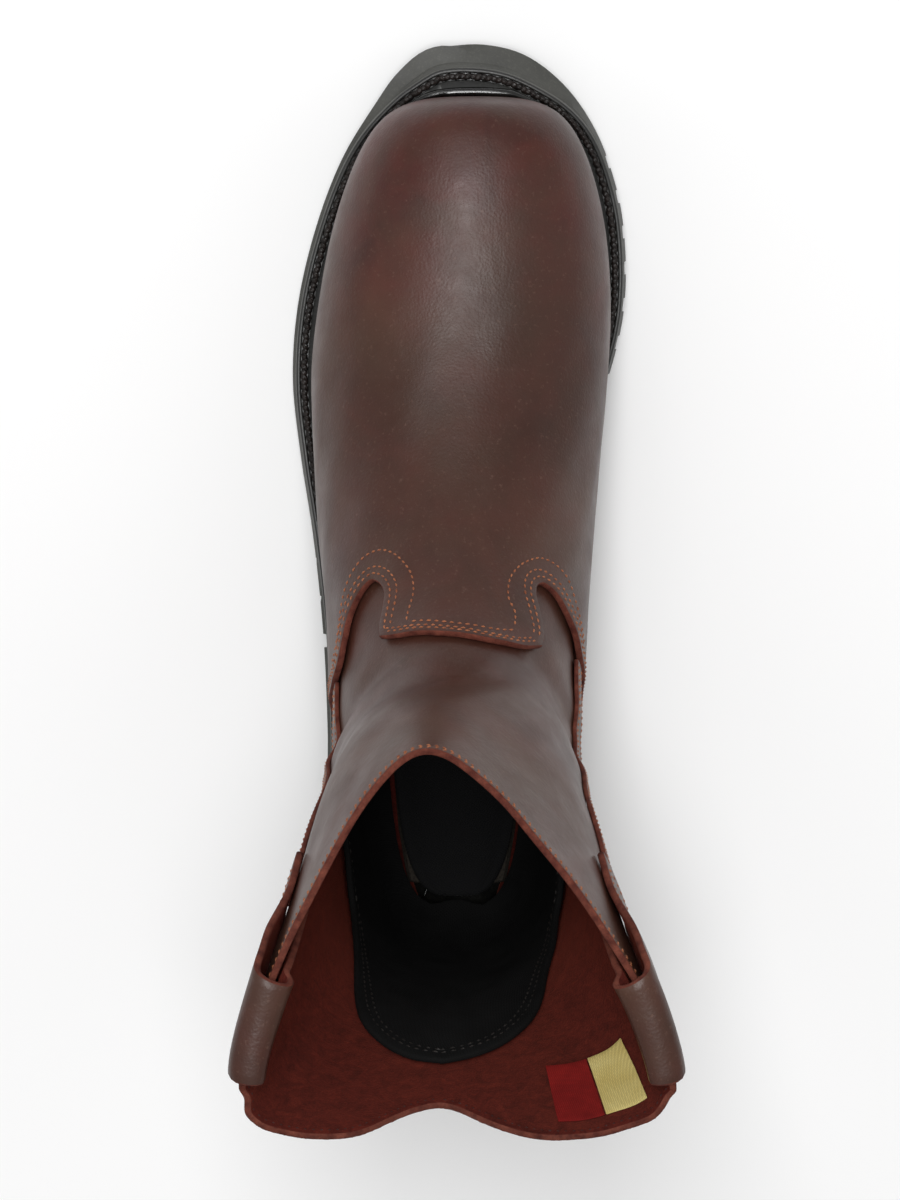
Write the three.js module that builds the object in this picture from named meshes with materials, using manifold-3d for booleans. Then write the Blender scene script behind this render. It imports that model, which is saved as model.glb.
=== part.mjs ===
// Steel toe work boot, left foot, pull-on height, welted sole.
// Millimetres, +Z up. The toe points to -Y and the outer side of the foot to +X.
import * as THREE from 'three';
import { mergeVertices } from 'three/addons/utils/BufferGeometryUtils.js';
import Module from 'manifold-3d';

const wasm = await Module();
wasm.setup();

// ---------------------------------------------------------------- driving dimensions

const GAP = 0.3; // clearance kept between touching pieces
const LEATHER = 2.1; // thickness of the upper leather
const LINING = 1.3; // thickness of the fabric lining
const STIFFENER = 1.1; // thickness of the heel stiffener
const CAP_STEEL = 1.5; // thickness of the steel toe cap
const BOARD = 2.2; // thickness of the insole board
const FOOTBED = 4.2; // thickness of the loose footbed
const MIDSOLE = 3.3; // thickness of the rubber midsole
const LUG_DEPTH = 4.5; // depth of the tread
const LUG_PITCH = 12.5; // distance from one tread groove to the next
const GROOVE = 4.5; // width of a tread groove
const HEEL_BREAST = 226; // distance from the toe to the front of the heel
const HEEL_TOP = 16.4; // height of the heel block's top
const LIFT_TOP = 7.2; // height of the worn rubber lift under the heel
const NAIL_RADIUS = 1.1;
const TAB_STRIP = 2.0; // thickness of the pull tab leather

// Depth of each layer under the form's surface, positive outside it.
const TUCK = 0.5; // how much deeper the shaft lies where another piece covers it
const OUTER_LAYER = { outer: GAP + LEATHER, inner: GAP };
const CAP_LAYER = { outer: -TUCK - 0.1, inner: -TUCK - 0.1 - CAP_STEEL };
const LINING_LAYER = { outer: -TUCK - LEATHER - 2 * GAP, inner: -TUCK - LEATHER - 2 * GAP - LINING };
const STIFFENER_LAYER = { outer: LINING_LAYER.outer, inner: LINING_LAYER.outer - STIFFENER };
const HEEL_LINING_DEPTH = STIFFENER_LAYER.inner - GAP;

// ---------------------------------------------------------------- the form

// The boot's form is a stack of rings. Each ring runs through a front point on the toe, instep
// or shin and a back point on the sole or heel. Its row holds: front y and z, front x shift,
// back y and z, back x shift, half width, middle x, place of the widest point between front
// and back, and how square the front and back halves are.
const RINGS = [
  [19, 38, 0, 19, 38, 0, 0, -5, 0.5, 2, 2],
  [19, 52, 0, 19, 24, 0, 14, -5, 0.55, 2.1, 2.6],
  [22, 60, 0, 22, 19, 0, 26, -4.8, 0.6, 2.2, 3],
  [31, 66, 0, 31, 17, 0, 33.5, -4.3, 0.64, 2.3, 3.4],
  [44, 69, 0, 44, 15, 0, 39, -3.8, 0.67, 2.3, 3.6],
  [62, 71, 0, 62, 14.2, 0, 44, -3, 0.7, 2.3, 3.8],
  [86, 74, 0, 86, 14, 0, 47.2, -1.6, 0.7, 2.25, 3.8],
  [112, 81, 0, 112, 14, 0, 47.8, 0.4, 0.68, 2.2, 3.8],
  [137, 95, 0, 140, 16, 0, 45.5, 1.2, 0.64, 2.15, 3.6],
  [156, 111, 0, 172, 20, 0, 43, 1.2, 0.56, 2.1, 3.6],
  [171, 126, 0, 206, 26, 0, 40.5, 1, 0.5, 2.1, 3.6],
  [181, 139, 0, 246, 31, 0, 39, 1, 0.42, 2.1, 3.2],
  [187, 151, 0, 290, 31, 0, 39, 1, 0.38, 2.1, 2.8],
  [190, 162, 0, 306, 52, 0, 39.8, 1, 0.4, 2.1, 2.5],
  [192, 173, 1, 304, 92, 0, 40.5, 1.2, 0.42, 2.1, 2.4],
  [193, 186, 3, 297, 134, 1, 42, 1.4, 0.48, 2, 2.4],
  [195, 202, 6, 296, 172, 2, 46, 1.6, 0.58, 1.8, 2.6],
  [199, 222, 8, 303, 206, 4, 53.5, 1.6, 0.73, 1.5, 2.8],
  [204, 244, 9, 313, 238, 6, 61.5, 1, 0.83, 1.38, 2.7],
  [209, 268, 9, 324, 268, 6, 67.5, 0.5, 0.86, 1.34, 2.7],
];
const TOE = 0; // ring number at the toe's tip
const CORNER_SOFTNESS = 0.02; // rounds the pointed places of a ring
const SQUARE_BLEND = 0.5; // how far behind the widest point the back half's squareness is reached

const lerp = (a, b, f) => a + (b - a) * f;

// Straight-line interpolation through [x, value] pairs.
function through(pairs, x) {
  if (x <= pairs[0][0]) return pairs[0][1];
  for (let i = 1; i < pairs.length; i += 1) {
    const [x0, v0] = pairs[i - 1];
    const [x1, v1] = pairs[i];
    if (x <= x1) return lerp(v0, v1, (x - x0) / (x1 - x0));
  }
  return pairs[pairs.length - 1][1];
}

// A ring's row at any ring number s, from a cubic B-spline through the rows.
function ringAt(s) {
  const last = RINGS.length - 1;
  const i = Math.min(Math.max(Math.floor(s), 0), last - 1);
  const f = s - i;
  const row = (k) => {
    if (k < 0) return RINGS[0].map((v, c) => 2 * v - RINGS[1][c]);
    if (k > last) return RINGS[last].map((v, c) => 2 * v - RINGS[last - 1][c]);
    return RINGS[k];
  };
  const weights = [
    (1 - f) ** 3 / 6,
    (3 * f ** 3 - 6 * f ** 2 + 4) / 6,
    (-3 * f ** 3 + 3 * f ** 2 + 3 * f + 1) / 6,
    f ** 3 / 6,
  ];
  const rows = [row(i - 1), row(i), row(i + 1), row(i + 2)];
  return RINGS[0].map((_, c) => weights.reduce((sum, w, k) => sum + w * rows[k][c], 0));
}

function softPower(q, n) {
  const soft = CORNER_SOFTNESS;
  const raised = (v) => (v + soft) ** (n / 2) - soft ** (n / 2);
  return raised(q) / raised(1);
}

// A point of the form. t runs round the ring: 0 front, 0.25 outer side, 0.5 back or sole.
function formPoint(s, t) {
  const [yF, zF, xF, yB, zB, xB, width, xMid, place, squareF, squareB] = ringAt(s);
  const depth = Math.max(Math.hypot(yB - yF, zB - zF), 1e-9);
  const c = Math.cos(2 * Math.PI * t);
  const side = Math.sin(2 * Math.PI * t);
  const reach = depth * (c > 0 ? place : 1 - place);
  const q = Math.min(Math.max(-c / SQUARE_BLEND, 0), 1);
  const n = lerp(squareF, squareB, q * q * (3 - 2 * q));
  const radius = (softPower(c * c, n) + softPower(side * side, n)) ** (-1 / n);
  const shift = (c > 0 ? xF : xB) * (radius * c) ** 2;
  const along = radius * c * reach / depth;
  return new THREE.Vector3(
    xMid + width * radius * side + shift,
    lerp(yF, yB, place) + along * (yF - yB),
    lerp(zF, zB, place) + along * (zF - zB),
  );
}

function formNormal(s, t) {
  if (s < 1e-6) return new THREE.Vector3(0, -1, 0);
  const step = 1e-3;
  const alongS = formPoint(s + step, t).sub(formPoint(s - step, t));
  const alongT = formPoint(s, t + step).sub(formPoint(s, t - step));
  return alongT.cross(alongS).normalize();
}

const onForm = (s, t, depth) => formPoint(s, t).addScaledVector(formNormal(s, t), depth);

// ---------------------------------------------------------------- lines on the form

// Share of the half turn, seen from the sole's middle line, where the form still faces down.
const SEAT_STEP = 0.25;
const SEAT_RINGS = 13;
const seatTable = Array.from({ length: SEAT_RINGS / SEAT_STEP + 1 }, (_, i) => {
  let open = 0.5;
  let shut = 0.25;
  const facesDown = (t) => formNormal(i * SEAT_STEP, t).z < -0.7;
  if (!facesDown(open)) return [i * SEAT_STEP, 0];
  for (let k = 0; k < 20; k += 1) {
    const middle = (open + shut) / 2;
    if (facesDown(middle)) open = middle;
    else shut = middle;
  }
  return [i * SEAT_STEP, 0.5 - open];
});
const seatHalf = (s) => through(seatTable, s);

// Last ring of the sole opening at the heel, for a line round the heel at t.
function seatEnd(t, share) {
  for (let s = SEAT_RINGS - 0.5; s > 9; s -= 0.02) {
    if (share * seatHalf(s) > Math.abs(0.5 - t)) return s;
  }
  return 9;
}

const MARGIN = 0.72; // how far the upper is folded under, as a share of the seat's half width
const SLIT = 0.0015; // half of the slit where a folded piece meets itself

const fromFront = (t) => Math.abs(((t + 0.5) % 1) - 0.5);
const bump = (x, width) => Math.exp(-((x / width) ** 2));

// Ring number of the collar's edge: it dips at the shin and behind the calf.
function collarRing(t) {
  const a = fromFront(t);
  return 18.4 - 0.85 * bump(a, 0.1) - 0.62 * bump(a - 0.5, 0.05);
}

// Back edge of the vamp, as [t, ring]: the tongue, the notch beside it, the line down the side.
const TONGUE_HALF = 0.097;
const VAMP_EDGE = [
  [0, 11.25], [TONGUE_HALF, 11.1], [TONGUE_HALF + 0.0006, 9.95], [0.105, 9.72], [0.115, 9.76],
  [0.13, 9.87], [0.15, 10.0], [0.18, 10.2], [0.22, 10.4], [0.3, 10.65], [0.42, 10.8],
];
const FOOT_SIDE = 0.42; // turn share of the sole's edge over most of the foot

const LINING_TOP = [[0, 12.3], [0.25, 13.6], [0.36, 14.9], [0.39, 16.2], [0.45, 17.0], [0.5, 17.2]];
const SEAM_SIDE = 0.214; // side seam between the front and back of the shaft
const LINING_SEAM = 10.5; // ring where the heel lining meets the vamp lining

// ---------------------------------------------------------------- solids

function closedMesh(points, faces) {
  let geometry = new THREE.BufferGeometry();
  const numbers = points.flatMap((p) => p.toArray());
  geometry.setAttribute('position', new THREE.Float32BufferAttribute(numbers, 3));
  geometry.setIndex(faces);
  geometry = mergeVertices(geometry, 1e-4);
  const index = geometry.index.array;
  const kept = [];
  let volume = 0;
  const p = geometry.attributes.position;
  const corner = (i) => new THREE.Vector3().fromBufferAttribute(p, i);
  for (let i = 0; i < index.length; i += 3) {
    const [a, b, c] = [index[i], index[i + 1], index[i + 2]];
    if (a !== b && b !== c && c !== a) {
      kept.push(a, b, c);
      volume += corner(a).dot(corner(b).cross(corner(c)));
    }
  }
  if (volume < 0) {
    for (let i = 0; i < kept.length; i += 3) [kept[i], kept[i + 1]] = [kept[i + 1], kept[i]];
  }
  geometry.setIndex(kept);
  return geometry;
}

// A bent plate between two grids of points, one for each column value and each stop along it.
function slab(columns, stops, outerAt, innerAt) {
  const points = [];
  const faces = [];
  const count = columns.length;
  const rows = stops.length - 1;
  const at = (side, i, j) => (side * count + i) * (rows + 1) + j;
  const quad = (a, b, c, d) => faces.push(a, b, c, a, c, d);
  for (const side of [outerAt, innerAt]) {
    for (const column of columns) {
      for (const stop of stops) points.push(side(column, stop));
    }
  }
  for (let i = 0; i < count - 1; i += 1) {
    for (let j = 0; j < rows; j += 1) {
      quad(at(0, i, j), at(0, i + 1, j), at(0, i + 1, j + 1), at(0, i, j + 1));
      quad(at(1, i, j), at(1, i, j + 1), at(1, i + 1, j + 1), at(1, i + 1, j));
    }
    quad(at(0, i, 0), at(1, i, 0), at(1, i + 1, 0), at(0, i + 1, 0));
    quad(at(0, i, rows), at(0, i + 1, rows), at(1, i + 1, rows), at(1, i, rows));
  }
  for (let j = 0; j < rows; j += 1) {
    const end = count - 1;
    quad(at(0, 0, j), at(0, 0, j + 1), at(1, 0, j + 1), at(1, 0, j));
    quad(at(0, end, j), at(1, end, j), at(1, end, j + 1), at(0, end, j + 1));
  }
  return closedMesh(points, faces);
}

const evenly = (from, to, steps) => Array.from({ length: steps + 1 }, (_, i) => lerp(from, to, i / steps));
const mirrored = (list) => [...list.slice(1).reverse().map((v) => -v), ...list];

// Ring numbers and turn shares that every layer uses, so that neighbouring layers lie parallel.
const FOOT_RINGS = [0, 0.6, 1.2, 1.8, 2.5, 3.3, 4.4, 5.8, 7.2, 8.2, 9.1, 9.8, 10.3, 10.8, 11.25];
const BACK_RINGS = [10, 11, 11.7, 12.1, 12.5, 12.9, 13.5, 14.3, 15.3, 16.3, 17.2, 18, 18.4];
const FOOT_STOPS = [0.05, 0.1, 0.15, 0.2, 0.25, 0.29, 0.33, 0.37, 0.42];
const BACK_STOPS = [0.02, 0.045, 0.07, 0.09, 0.11, 0.135, 0.16, 0.19, 0.22, 0.25];

const clipped = (rings, from, to) => rings.map((s) => Math.min(Math.max(s, from), to));

// A layer on the form over columns of t and a run of rings along each column.
function layer(columns, rings, range, { outer, inner }) {
  const place = (depth) => (t, ring) => {
    const [s] = clipped([ring], ...range(t));
    return onForm(s, t, typeof depth === 'function' ? depth(s, t) : depth);
  };
  return slab(columns, rings, place(outer), place(inner));
}

// A layer over the foot from the toe back, open under the sole. Columns are shares of a side.
function footLayer(stops, startRing, endRing, share, { outer, inner }) {
  const columns = mirrored([0, ...stops]);
  const place = (depth) => (column, ring) => {
    const [s] = clipped([ring], startRing, endRing(Math.abs(column)));
    const edge = Math.min(0.5 - share * seatHalf(s), 0.5 - SLIT);
    return onForm(s, (column / FOOT_SIDE) * edge, depth);
  };
  return slab(columns, FOOT_RINGS, place(outer), place(inner));
}

// A plate on the sole side of the form, as wide as a share of the seat.
function seatLayer(columns, startRing, endRing, share, { outer, inner }) {
  const place = (depth) => (u, ring) => {
    const s = Math.min(Math.max(ring, startRing), endRing);
    return onForm(s, 0.5 + u * share * seatHalf(s), depth);
  };
  const rings = [...FOOT_RINGS.filter((s) => s < 10.5), 10.9, 11.5, 11.9, SEAT_TO];
  return slab(evenly(-1, 1, columns), rings, place(outer), place(inner));
}

// A layer round the heel and up the back, from one turn share to the same on the other side.
function backLayer(from, frontRing, topRing, share, layerDepths) {
  const stops = [0, ...BACK_STOPS.filter((v) => v < 0.5 - from), 0.5 - from];
  const columns = mirrored(stops).map((v) => 0.5 + v);
  const bottom = (t) => Math.max(frontRing, seatEnd(t, share));
  return layer(columns, BACK_RINGS, (t) => [bottom(t), topRing(t)], layerDepths);
}

// The form itself as a solid, grown outwards, used to cut the pieces that fit round it.
function formSolid(grown, lastRing, around, along) {
  const points = [onForm(TOE, 0, grown)];
  const faces = [];
  for (let j = 1; j <= along; j += 1) {
    for (let i = 0; i < around; i += 1) points.push(onForm((lastRing * j) / along, i / around, grown));
  }
  const at = (i, j) => 1 + (j - 1) * around + (i % around);
  for (let i = 0; i < around; i += 1) {
    faces.push(0, at(i, 1), at(i + 1, 1));
    for (let j = 1; j < along; j += 1) {
      faces.push(at(i, j), at(i, j + 1), at(i + 1, j + 1), at(i, j), at(i + 1, j + 1), at(i + 1, j));
    }
    faces.push(points.length, at(i + 1, along), at(i, along));
  }
  const middle = new THREE.Vector3();
  for (let i = 0; i < around; i += 1) middle.addScaledVector(points[at(i, along)], 1 / around);
  points.push(middle);
  return closedMesh(points, faces);
}

function toManifold(geometry) {
  const bare = geometry.clone();
  bare.deleteAttribute('normal');
  bare.deleteAttribute('uv');
  const merged = mergeVertices(bare, 1e-4);
  const vertProperties = Float32Array.from(merged.attributes.position.array);
  const triVerts = Uint32Array.from(merged.index.array);
  return new wasm.Manifold(new wasm.Mesh({ numProp: 3, vertProperties, triVerts }));
}

function fromManifold(manifold) {
  const mesh = manifold.getMesh();
  const geometry = new THREE.BufferGeometry();
  geometry.setAttribute('position', new THREE.BufferAttribute(Float32Array.from(mesh.vertProperties), 3));
  geometry.setIndex(Array.from(mesh.triVerts));
  return geometry;
}

function joined(geometries) {
  return geometries.map(toManifold).reduce((sum, next) => sum.add(next));
}

const cut = (geometry, tool) => fromManifold(toManifold(geometry).subtract(toManifold(tool)));

// ---------------------------------------------------------------- the sole's outline and heights

// Outline of the tread as [x, y], from the toe's tip round the outer side to the heel and back.
const OUTLINE = [
  [-5, -0.5], [11, 1.2], [21, 9], [29, 20], [40, 38], [49, 61], [55.5, 88], [57.4, 114],
  [54.8, 140], [50.5, 168], [47, 200], [45.5, 232], [45, 262], [39, 292], [24, 309],
  [4, 313], [-16, 309], [-31, 292], [-36, 262], [-35, 230], [-34, 200], [-36, 168],
  [-41, 142], [-50, 117], [-56.3, 90], [-56, 62], [-52, 43.5], [-45.5, 27.5], [-35, 13], [-21, 2.8],
];
const OUTLINE_STEPS = 44;
const outlineCorners = OUTLINE.map(([x, y]) => new THREE.Vector3(x, y, 0));
const outlineCurve = new THREE.CatmullRomCurve3(outlineCorners, true, 'centripetal');
const outline = Array.from({ length: OUTLINE_STEPS }, (_, i) => {
  const u = i / OUTLINE_STEPS;
  const point = outlineCurve.getPoint(u);
  const tangent = outlineCurve.getTangent(u);
  return { point, inward: new THREE.Vector3(-tangent.y, tangent.x, 0) };
});

// Heights along the boot, as [distance from the toe, height].
const SOLE_LINE = [
  [-10, 22], [10, 20.4], [25, 18.6], [45, 15.3], [65, 14.3], [100, 14], [130, 15.2], [155, 18],
  [180, 21.5], [207, 25.8], [227, 28.4], [247, 30.2], [268, 31.3], [320, 31.8],
];
const TREAD_LINE = [
  [-10, 10.5], [5, 8], [25, 4.2], [45, 1.5], [70, 0], [130, 0], [150, 0.9], [175, 5], [200, 11.8],
  [218, 16.9], [320, 16.9],
];
const soleLine = (y) => through(SOLE_LINE, y);
const treadLine = (y) => through(TREAD_LINE, y);
const midsoleTop = (y) => soleLine(y) - GAP - LEATHER - GAP;
// How far the welt's edge stands in from the tread's edge: the toe's wall slopes.
const flare = (y) => 1.5 + 6.5 * bump(y, 18);

const outlinePoint = (i, inset, z) => {
  const { point, inward } = outline[(i + OUTLINE_STEPS) % OUTLINE_STEPS];
  return new THREE.Vector3(point.x, point.y, z).addScaledVector(inward, inset);
};

// A plate with the outline's shape. Each level, from the bottom up, gives its inset and height.
function plate(levels) {
  const points = [];
  const faces = [];
  const count = OUTLINE_STEPS;
  for (const { inset, height } of levels) {
    for (let i = 0; i < count; i += 1) {
      const y = outline[i].point.y;
      points.push(outlinePoint(i, inset(y), height(y)));
    }
  }
  const at = (level, i) => level * count + ((i + count) % count);
  for (let level = 0; level < levels.length - 1; level += 1) {
    for (let i = 0; i < count; i += 1) {
      faces.push(at(level, i), at(level, i + 1), at(level + 1, i + 1));
      faces.push(at(level, i), at(level + 1, i + 1), at(level + 1, i));
    }
  }
  const top = levels.length - 1;
  for (let i = 0; i < count / 2; i += 1) {
    faces.push(at(0, i), at(0, -i), at(0, -i - 1), at(0, i), at(0, -i - 1), at(0, i + 1));
    faces.push(at(top, i), at(top, -i - 1), at(top, -i), at(top, i), at(top, i + 1), at(top, -i - 1));
  }
  return closedMesh(points, faces);
}

// A profile carried round the outline. Each profile point is [inset, height over the sole line].
function hoop(profile) {
  const points = [];
  const faces = [];
  const sides = profile.length;
  for (let i = 0; i < OUTLINE_STEPS; i += 1) {
    const y = outline[i].point.y;
    for (const [inset, height] of profile) {
      points.push(outlinePoint(i, flare(y) + inset, soleLine(y) + height));
    }
  }
  const at = (i, k) => (i % OUTLINE_STEPS) * sides + (k % sides);
  for (let i = 0; i < OUTLINE_STEPS; i += 1) {
    for (let k = 0; k < sides; k += 1) {
      faces.push(at(i, k), at(i + 1, k), at(i + 1, k + 1), at(i, k), at(i + 1, k + 1), at(i, k + 1));
    }
  }
  return closedMesh(points, faces);
}

function box(width, length, height, x, y, z, turn = 0) {
  const geometry = new THREE.BoxGeometry(width, length, height);
  geometry.rotateZ(turn);
  geometry.translate(x, y, z);
  return geometry;
}

// ---------------------------------------------------------------- sole pieces

const CUTTER_GROWN = OUTER_LAYER.outer + 3.5 * GAP; // room between the leather's and the welt's facets
const upperCutter = formSolid(CUTTER_GROWN, 13.4, 36, 24);

// Storm welt: a flat stitched ledge with a groove, and a lip that stands up against the leather.
const GROOVE_FROM = 1.7; // the stitched groove, measured in from the welt's edge
const GROOVE_TO = 3.3;
const GROOVE_FLOOR = 0.2;
const LEDGE_TOP = 1.1;
const LIP_FROM = 5.2;
const LIP_TOP = 4.6;
const WELT_REACH = 13.5; // how far the welt runs in under the upper before it is cut to fit
function welt() {
  const low = -GAP - LEATHER;
  const ring = hoop([
    [0, low], [0, LEDGE_TOP], [GROOVE_FROM, LEDGE_TOP], [GROOVE_FROM, GROOVE_FLOOR],
    [GROOVE_TO, GROOVE_FLOOR], [GROOVE_TO, LEDGE_TOP], [LIP_FROM, LEDGE_TOP], [LIP_FROM + 0.8, LIP_TOP - 1],
    [LIP_FROM + 2.8, LIP_TOP], [WELT_REACH, LIP_TOP], [WELT_REACH, low],
  ]);
  return cut(ring, upperCutter);
}

const THREAD_RADIUS = 0.5;
const THREAD_HEIGHT = 0.9; // over the sole line, so that the thread lies in the groove
function outseamThread() {
  const middle = (GROOVE_FROM + GROOVE_TO) / 2;
  return hoop([
    [middle - THREAD_RADIUS, THREAD_HEIGHT], [middle, THREAD_HEIGHT + THREAD_RADIUS],
    [middle + THREAD_RADIUS, THREAD_HEIGHT], [middle, THREAD_HEIGHT - THREAD_RADIUS],
  ]);
}

const MIDSOLE_PROUD = 0.3; // how far the midsole's edge stands out past the welt's
function midsole() {
  const edge = (y) => flare(y) - MIDSOLE_PROUD;
  return plate([
    { inset: edge, height: (y) => midsoleTop(y) - MIDSOLE },
    { inset: edge, height: midsoleTop },
  ]);
}

// The tread's grooves: one on each side at every pitch, and a channel down the middle.
const FIRST_GROOVE = 17; // distance from the toe
const LAST_GROOVE = 205;
const GROOVE_TURN = 0.2; // how far a groove slants from square, in radians
const GROOVE_LENGTH = 46;
const GROOVE_MIDDLE = 38; // sideways distance of a groove's middle
const CHANNEL = 7; // width of the channel down the middle, which steps from side to side
const CHANNEL_STEP = 6;
const CHANNEL_START = -4;
const TOOL_HEIGHT = 20;
function treadGrooves() {
  const tools = [];
  let step = 0;
  for (let y = FIRST_GROOVE; y < LAST_GROOVE; y += LUG_PITCH) {
    const z = treadLine(y) + LUG_DEPTH - TOOL_HEIGHT / 2;
    const channelX = CHANNEL_START + (step % 2) * CHANNEL_STEP;
    tools.push(box(GROOVE_LENGTH, GROOVE, TOOL_HEIGHT, GROOVE_MIDDLE, y, z, -GROOVE_TURN));
    tools.push(box(GROOVE_LENGTH, GROOVE, TOOL_HEIGHT, -GROOVE_MIDDLE, y, z, GROOVE_TURN));
    tools.push(box(CHANNEL, LUG_PITCH + 1, TOOL_HEIGHT, channelX, y, z));
    step += 1;
  }
  return tools;
}

const LUG_CHAMFER = 1.2;
const WALL_FOOT = 2.2; // height over the tread where the outsole is widest
const WALL_RIM = 1.5; // height of the rim along the outsole's top edge
const WALL_SLOPE = 0.75; // share of the wall's slope below the rim
function outsole() {
  const top = (y) => midsoleTop(y) - MIDSOLE - GAP;
  const body = plate([
    { inset: () => LUG_CHAMFER, height: treadLine },
    { inset: () => 0, height: (y) => treadLine(y) + WALL_FOOT },
    { inset: (y) => flare(y) * WALL_SLOPE, height: (y) => top(y) - WALL_RIM },
    { inset: flare, height: top },
  ]);
  return fromManifold(toManifold(body).subtract(joined(treadGrooves())));
}

const HEEL_TAPER = 0.6; // share of the inset kept at the top
const BLOCK_INSET = 1;
const LIFT_INSET = 1.4;
function heelPart(bottom, top, inset) {
  const body = plate([
    { inset: () => inset, height: () => bottom },
    { inset: () => inset * HEEL_TAPER, height: () => top },
  ]);
  const length = 120;
  const behindBreast = box(200, length, 60, 0, HEEL_BREAST + length / 2, 0);
  return toManifold(body).intersect(toManifold(behindBreast));
}

const NAILS = [[-20, 246], [26, 246], [-22, 272], [28, 272], [-10, 294], [17, 294]];

function heelBlock() {
  const holes = NAILS.map(([x, y]) => {
    const hole = new THREE.CylinderGeometry(NAIL_RADIUS + GAP, NAIL_RADIUS + GAP, 30, 8);
    hole.rotateX(Math.PI / 2);
    hole.translate(x, y, LIFT_TOP + 6);
    return hole;
  });
  return fromManifold(heelPart(LIFT_TOP + GAP, HEEL_TOP, BLOCK_INSET).subtract(joined(holes)));
}

function heelNail([x, y]) {
  const nail = new THREE.CylinderGeometry(NAIL_RADIUS, NAIL_RADIUS, HEEL_TOP - LIFT_TOP - 2 * GAP, 8);
  nail.rotateX(Math.PI / 2);
  nail.translate(x, y, (HEEL_TOP + LIFT_TOP + GAP) / 2);
  return nail;
}

const NOTCH_LENGTH = 30;
const NOTCH_PITCH = LUG_PITCH + 3;
const NOTCH_MIDDLES = [45, -36]; // sideways distances of the notches' middles
function heelLift() {
  const notches = [];
  for (let y = HEEL_BREAST + 14; y < 300; y += NOTCH_PITCH) {
    for (const x of NOTCH_MIDDLES) {
      notches.push(box(NOTCH_LENGTH, GROOVE, 2 * LUG_DEPTH, x, y, 0, -Math.sign(x) * GROOVE_TURN));
    }
  }
  return fromManifold(heelPart(0, LIFT_TOP, LIFT_INSET).subtract(joined(notches)));
}

// ---------------------------------------------------------------- pieces inside the bottom

const BOARD_SHARE = 0.82;
const SEAT_FROM = 2; // first and last ring of the pieces laid on the sole
const SEAT_TO = 12.2;

function insoleBoard() {
  return seatLayer(4, SEAT_FROM + 0.3, SEAT_TO - 0.2, BOARD_SHARE, {
    outer: -3 * GAP,
    inner: -3 * GAP - BOARD,
  });
}

const CORK_FROM = 3.6;
const CORK_SHARE = 0.6;
const SHANK_FROM = 8;
const SHANK_TO = 11.1;
const SHANK_SHARE = 0.17;
const SHANK_ROOM = 0.1; // rings left free at each end of the shank
function corkFiller() {
  const cork = seatLayer(4, CORK_FROM, SEAT_TO - 0.5, CORK_SHARE, { outer: LEATHER, inner: GAP });
  const depths = { outer: 4, inner: -1 };
  const slot = seatLayer(2, SHANK_FROM - SHANK_ROOM, SHANK_TO + SHANK_ROOM, SHANK_SHARE + 0.05, depths);
  return cut(cork, slot);
}

const SHANK_DEPTHS = { outer: LEATHER - 0.2, inner: GAP + 0.1 };
const shank = () => seatLayer(2, SHANK_FROM, SHANK_TO, SHANK_SHARE, SHANK_DEPTHS);

function footbed() {
  const under = -4 * GAP - BOARD;
  return seatLayer(4, SEAT_FROM + 0.6, SEAT_TO - 0.3, BOARD_SHARE, { outer: under, inner: under - FOOTBED });
}

// ---------------------------------------------------------------- the upper

const VAMP_STOPS = [0.035, 0.07, TONGUE_HALF, TONGUE_HALF + 0.0006, 0.105, 0.115, 0.13,
  ...FOOT_STOPS.filter((v) => v > 0.13)];
const vampLayer = (depths) => footLayer(VAMP_STOPS, TOE, (v) => through(VAMP_EDGE, v), MARGIN, depths);
const CAP_END = 4.2; // ring where the steel cap ends and the interlining begins
const INTERLINING_END = 8.1;
const LINING_START = 0.5;
const CAP_SHARE = 0.95;
const INTERLINING_SHARE = 1.04;

const vamp = () => vampLayer(OUTER_LAYER);
const steelToeCap = () => footLayer(FOOT_STOPS, TOE, () => CAP_END, CAP_SHARE, CAP_LAYER);
const vampInterlining = () => (
  footLayer(FOOT_STOPS, CAP_END + 0.1, () => INTERLINING_END, INTERLINING_SHARE, CAP_LAYER)
);
const vampLining = () => footLayer(FOOT_STOPS, LINING_START, () => LINING_SEAM - 0.05, 1, LINING_LAYER);

// The shaft lies at the form's surface, and a little deeper under the piece that covers its foot.
function shaftLayer(coveredTo) {
  const outer = (s) => -TUCK * (1 - THREE.MathUtils.smoothstep(s, coveredTo - 0.5, coveredTo + 0.5));
  return { outer, inner: (s) => outer(s) - LEATHER };
}

const FRONT_SHAFT_FROM = 8.4; // first ring of the front shaft, well under the vamp
const BACK_SHAFT_FROM = 10;
const VAMP_COVERS_TO = 11.3;
const COUNTER_COVERS_TO = 14.4;
const BACK_SHARE = 1.2; // the back shaft and the stiffener stop short of the sole's fold

function frontShaft() {
  const columns = mirrored([0, 0.035, 0.07, 0.1, 0.13, 0.16, 0.19, SEAM_SIDE]);
  const above = [9.1, 9.8, 10.3, 10.8, 11.5, 12.5, 13.8, 15.3, 16.2, 17.1, 17.6, 18, 18.4];
  const range = (t) => [FRONT_SHAFT_FROM, collarRing(t)];
  return layer(columns, [FRONT_SHAFT_FROM, ...above], range, shaftLayer(VAMP_COVERS_TO));
}

const backShaft = () => (
  backLayer(SEAM_SIDE + 0.003, BACK_SHAFT_FROM, collarRing, BACK_SHARE, shaftLayer(COUNTER_COVERS_TO))
);

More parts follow.
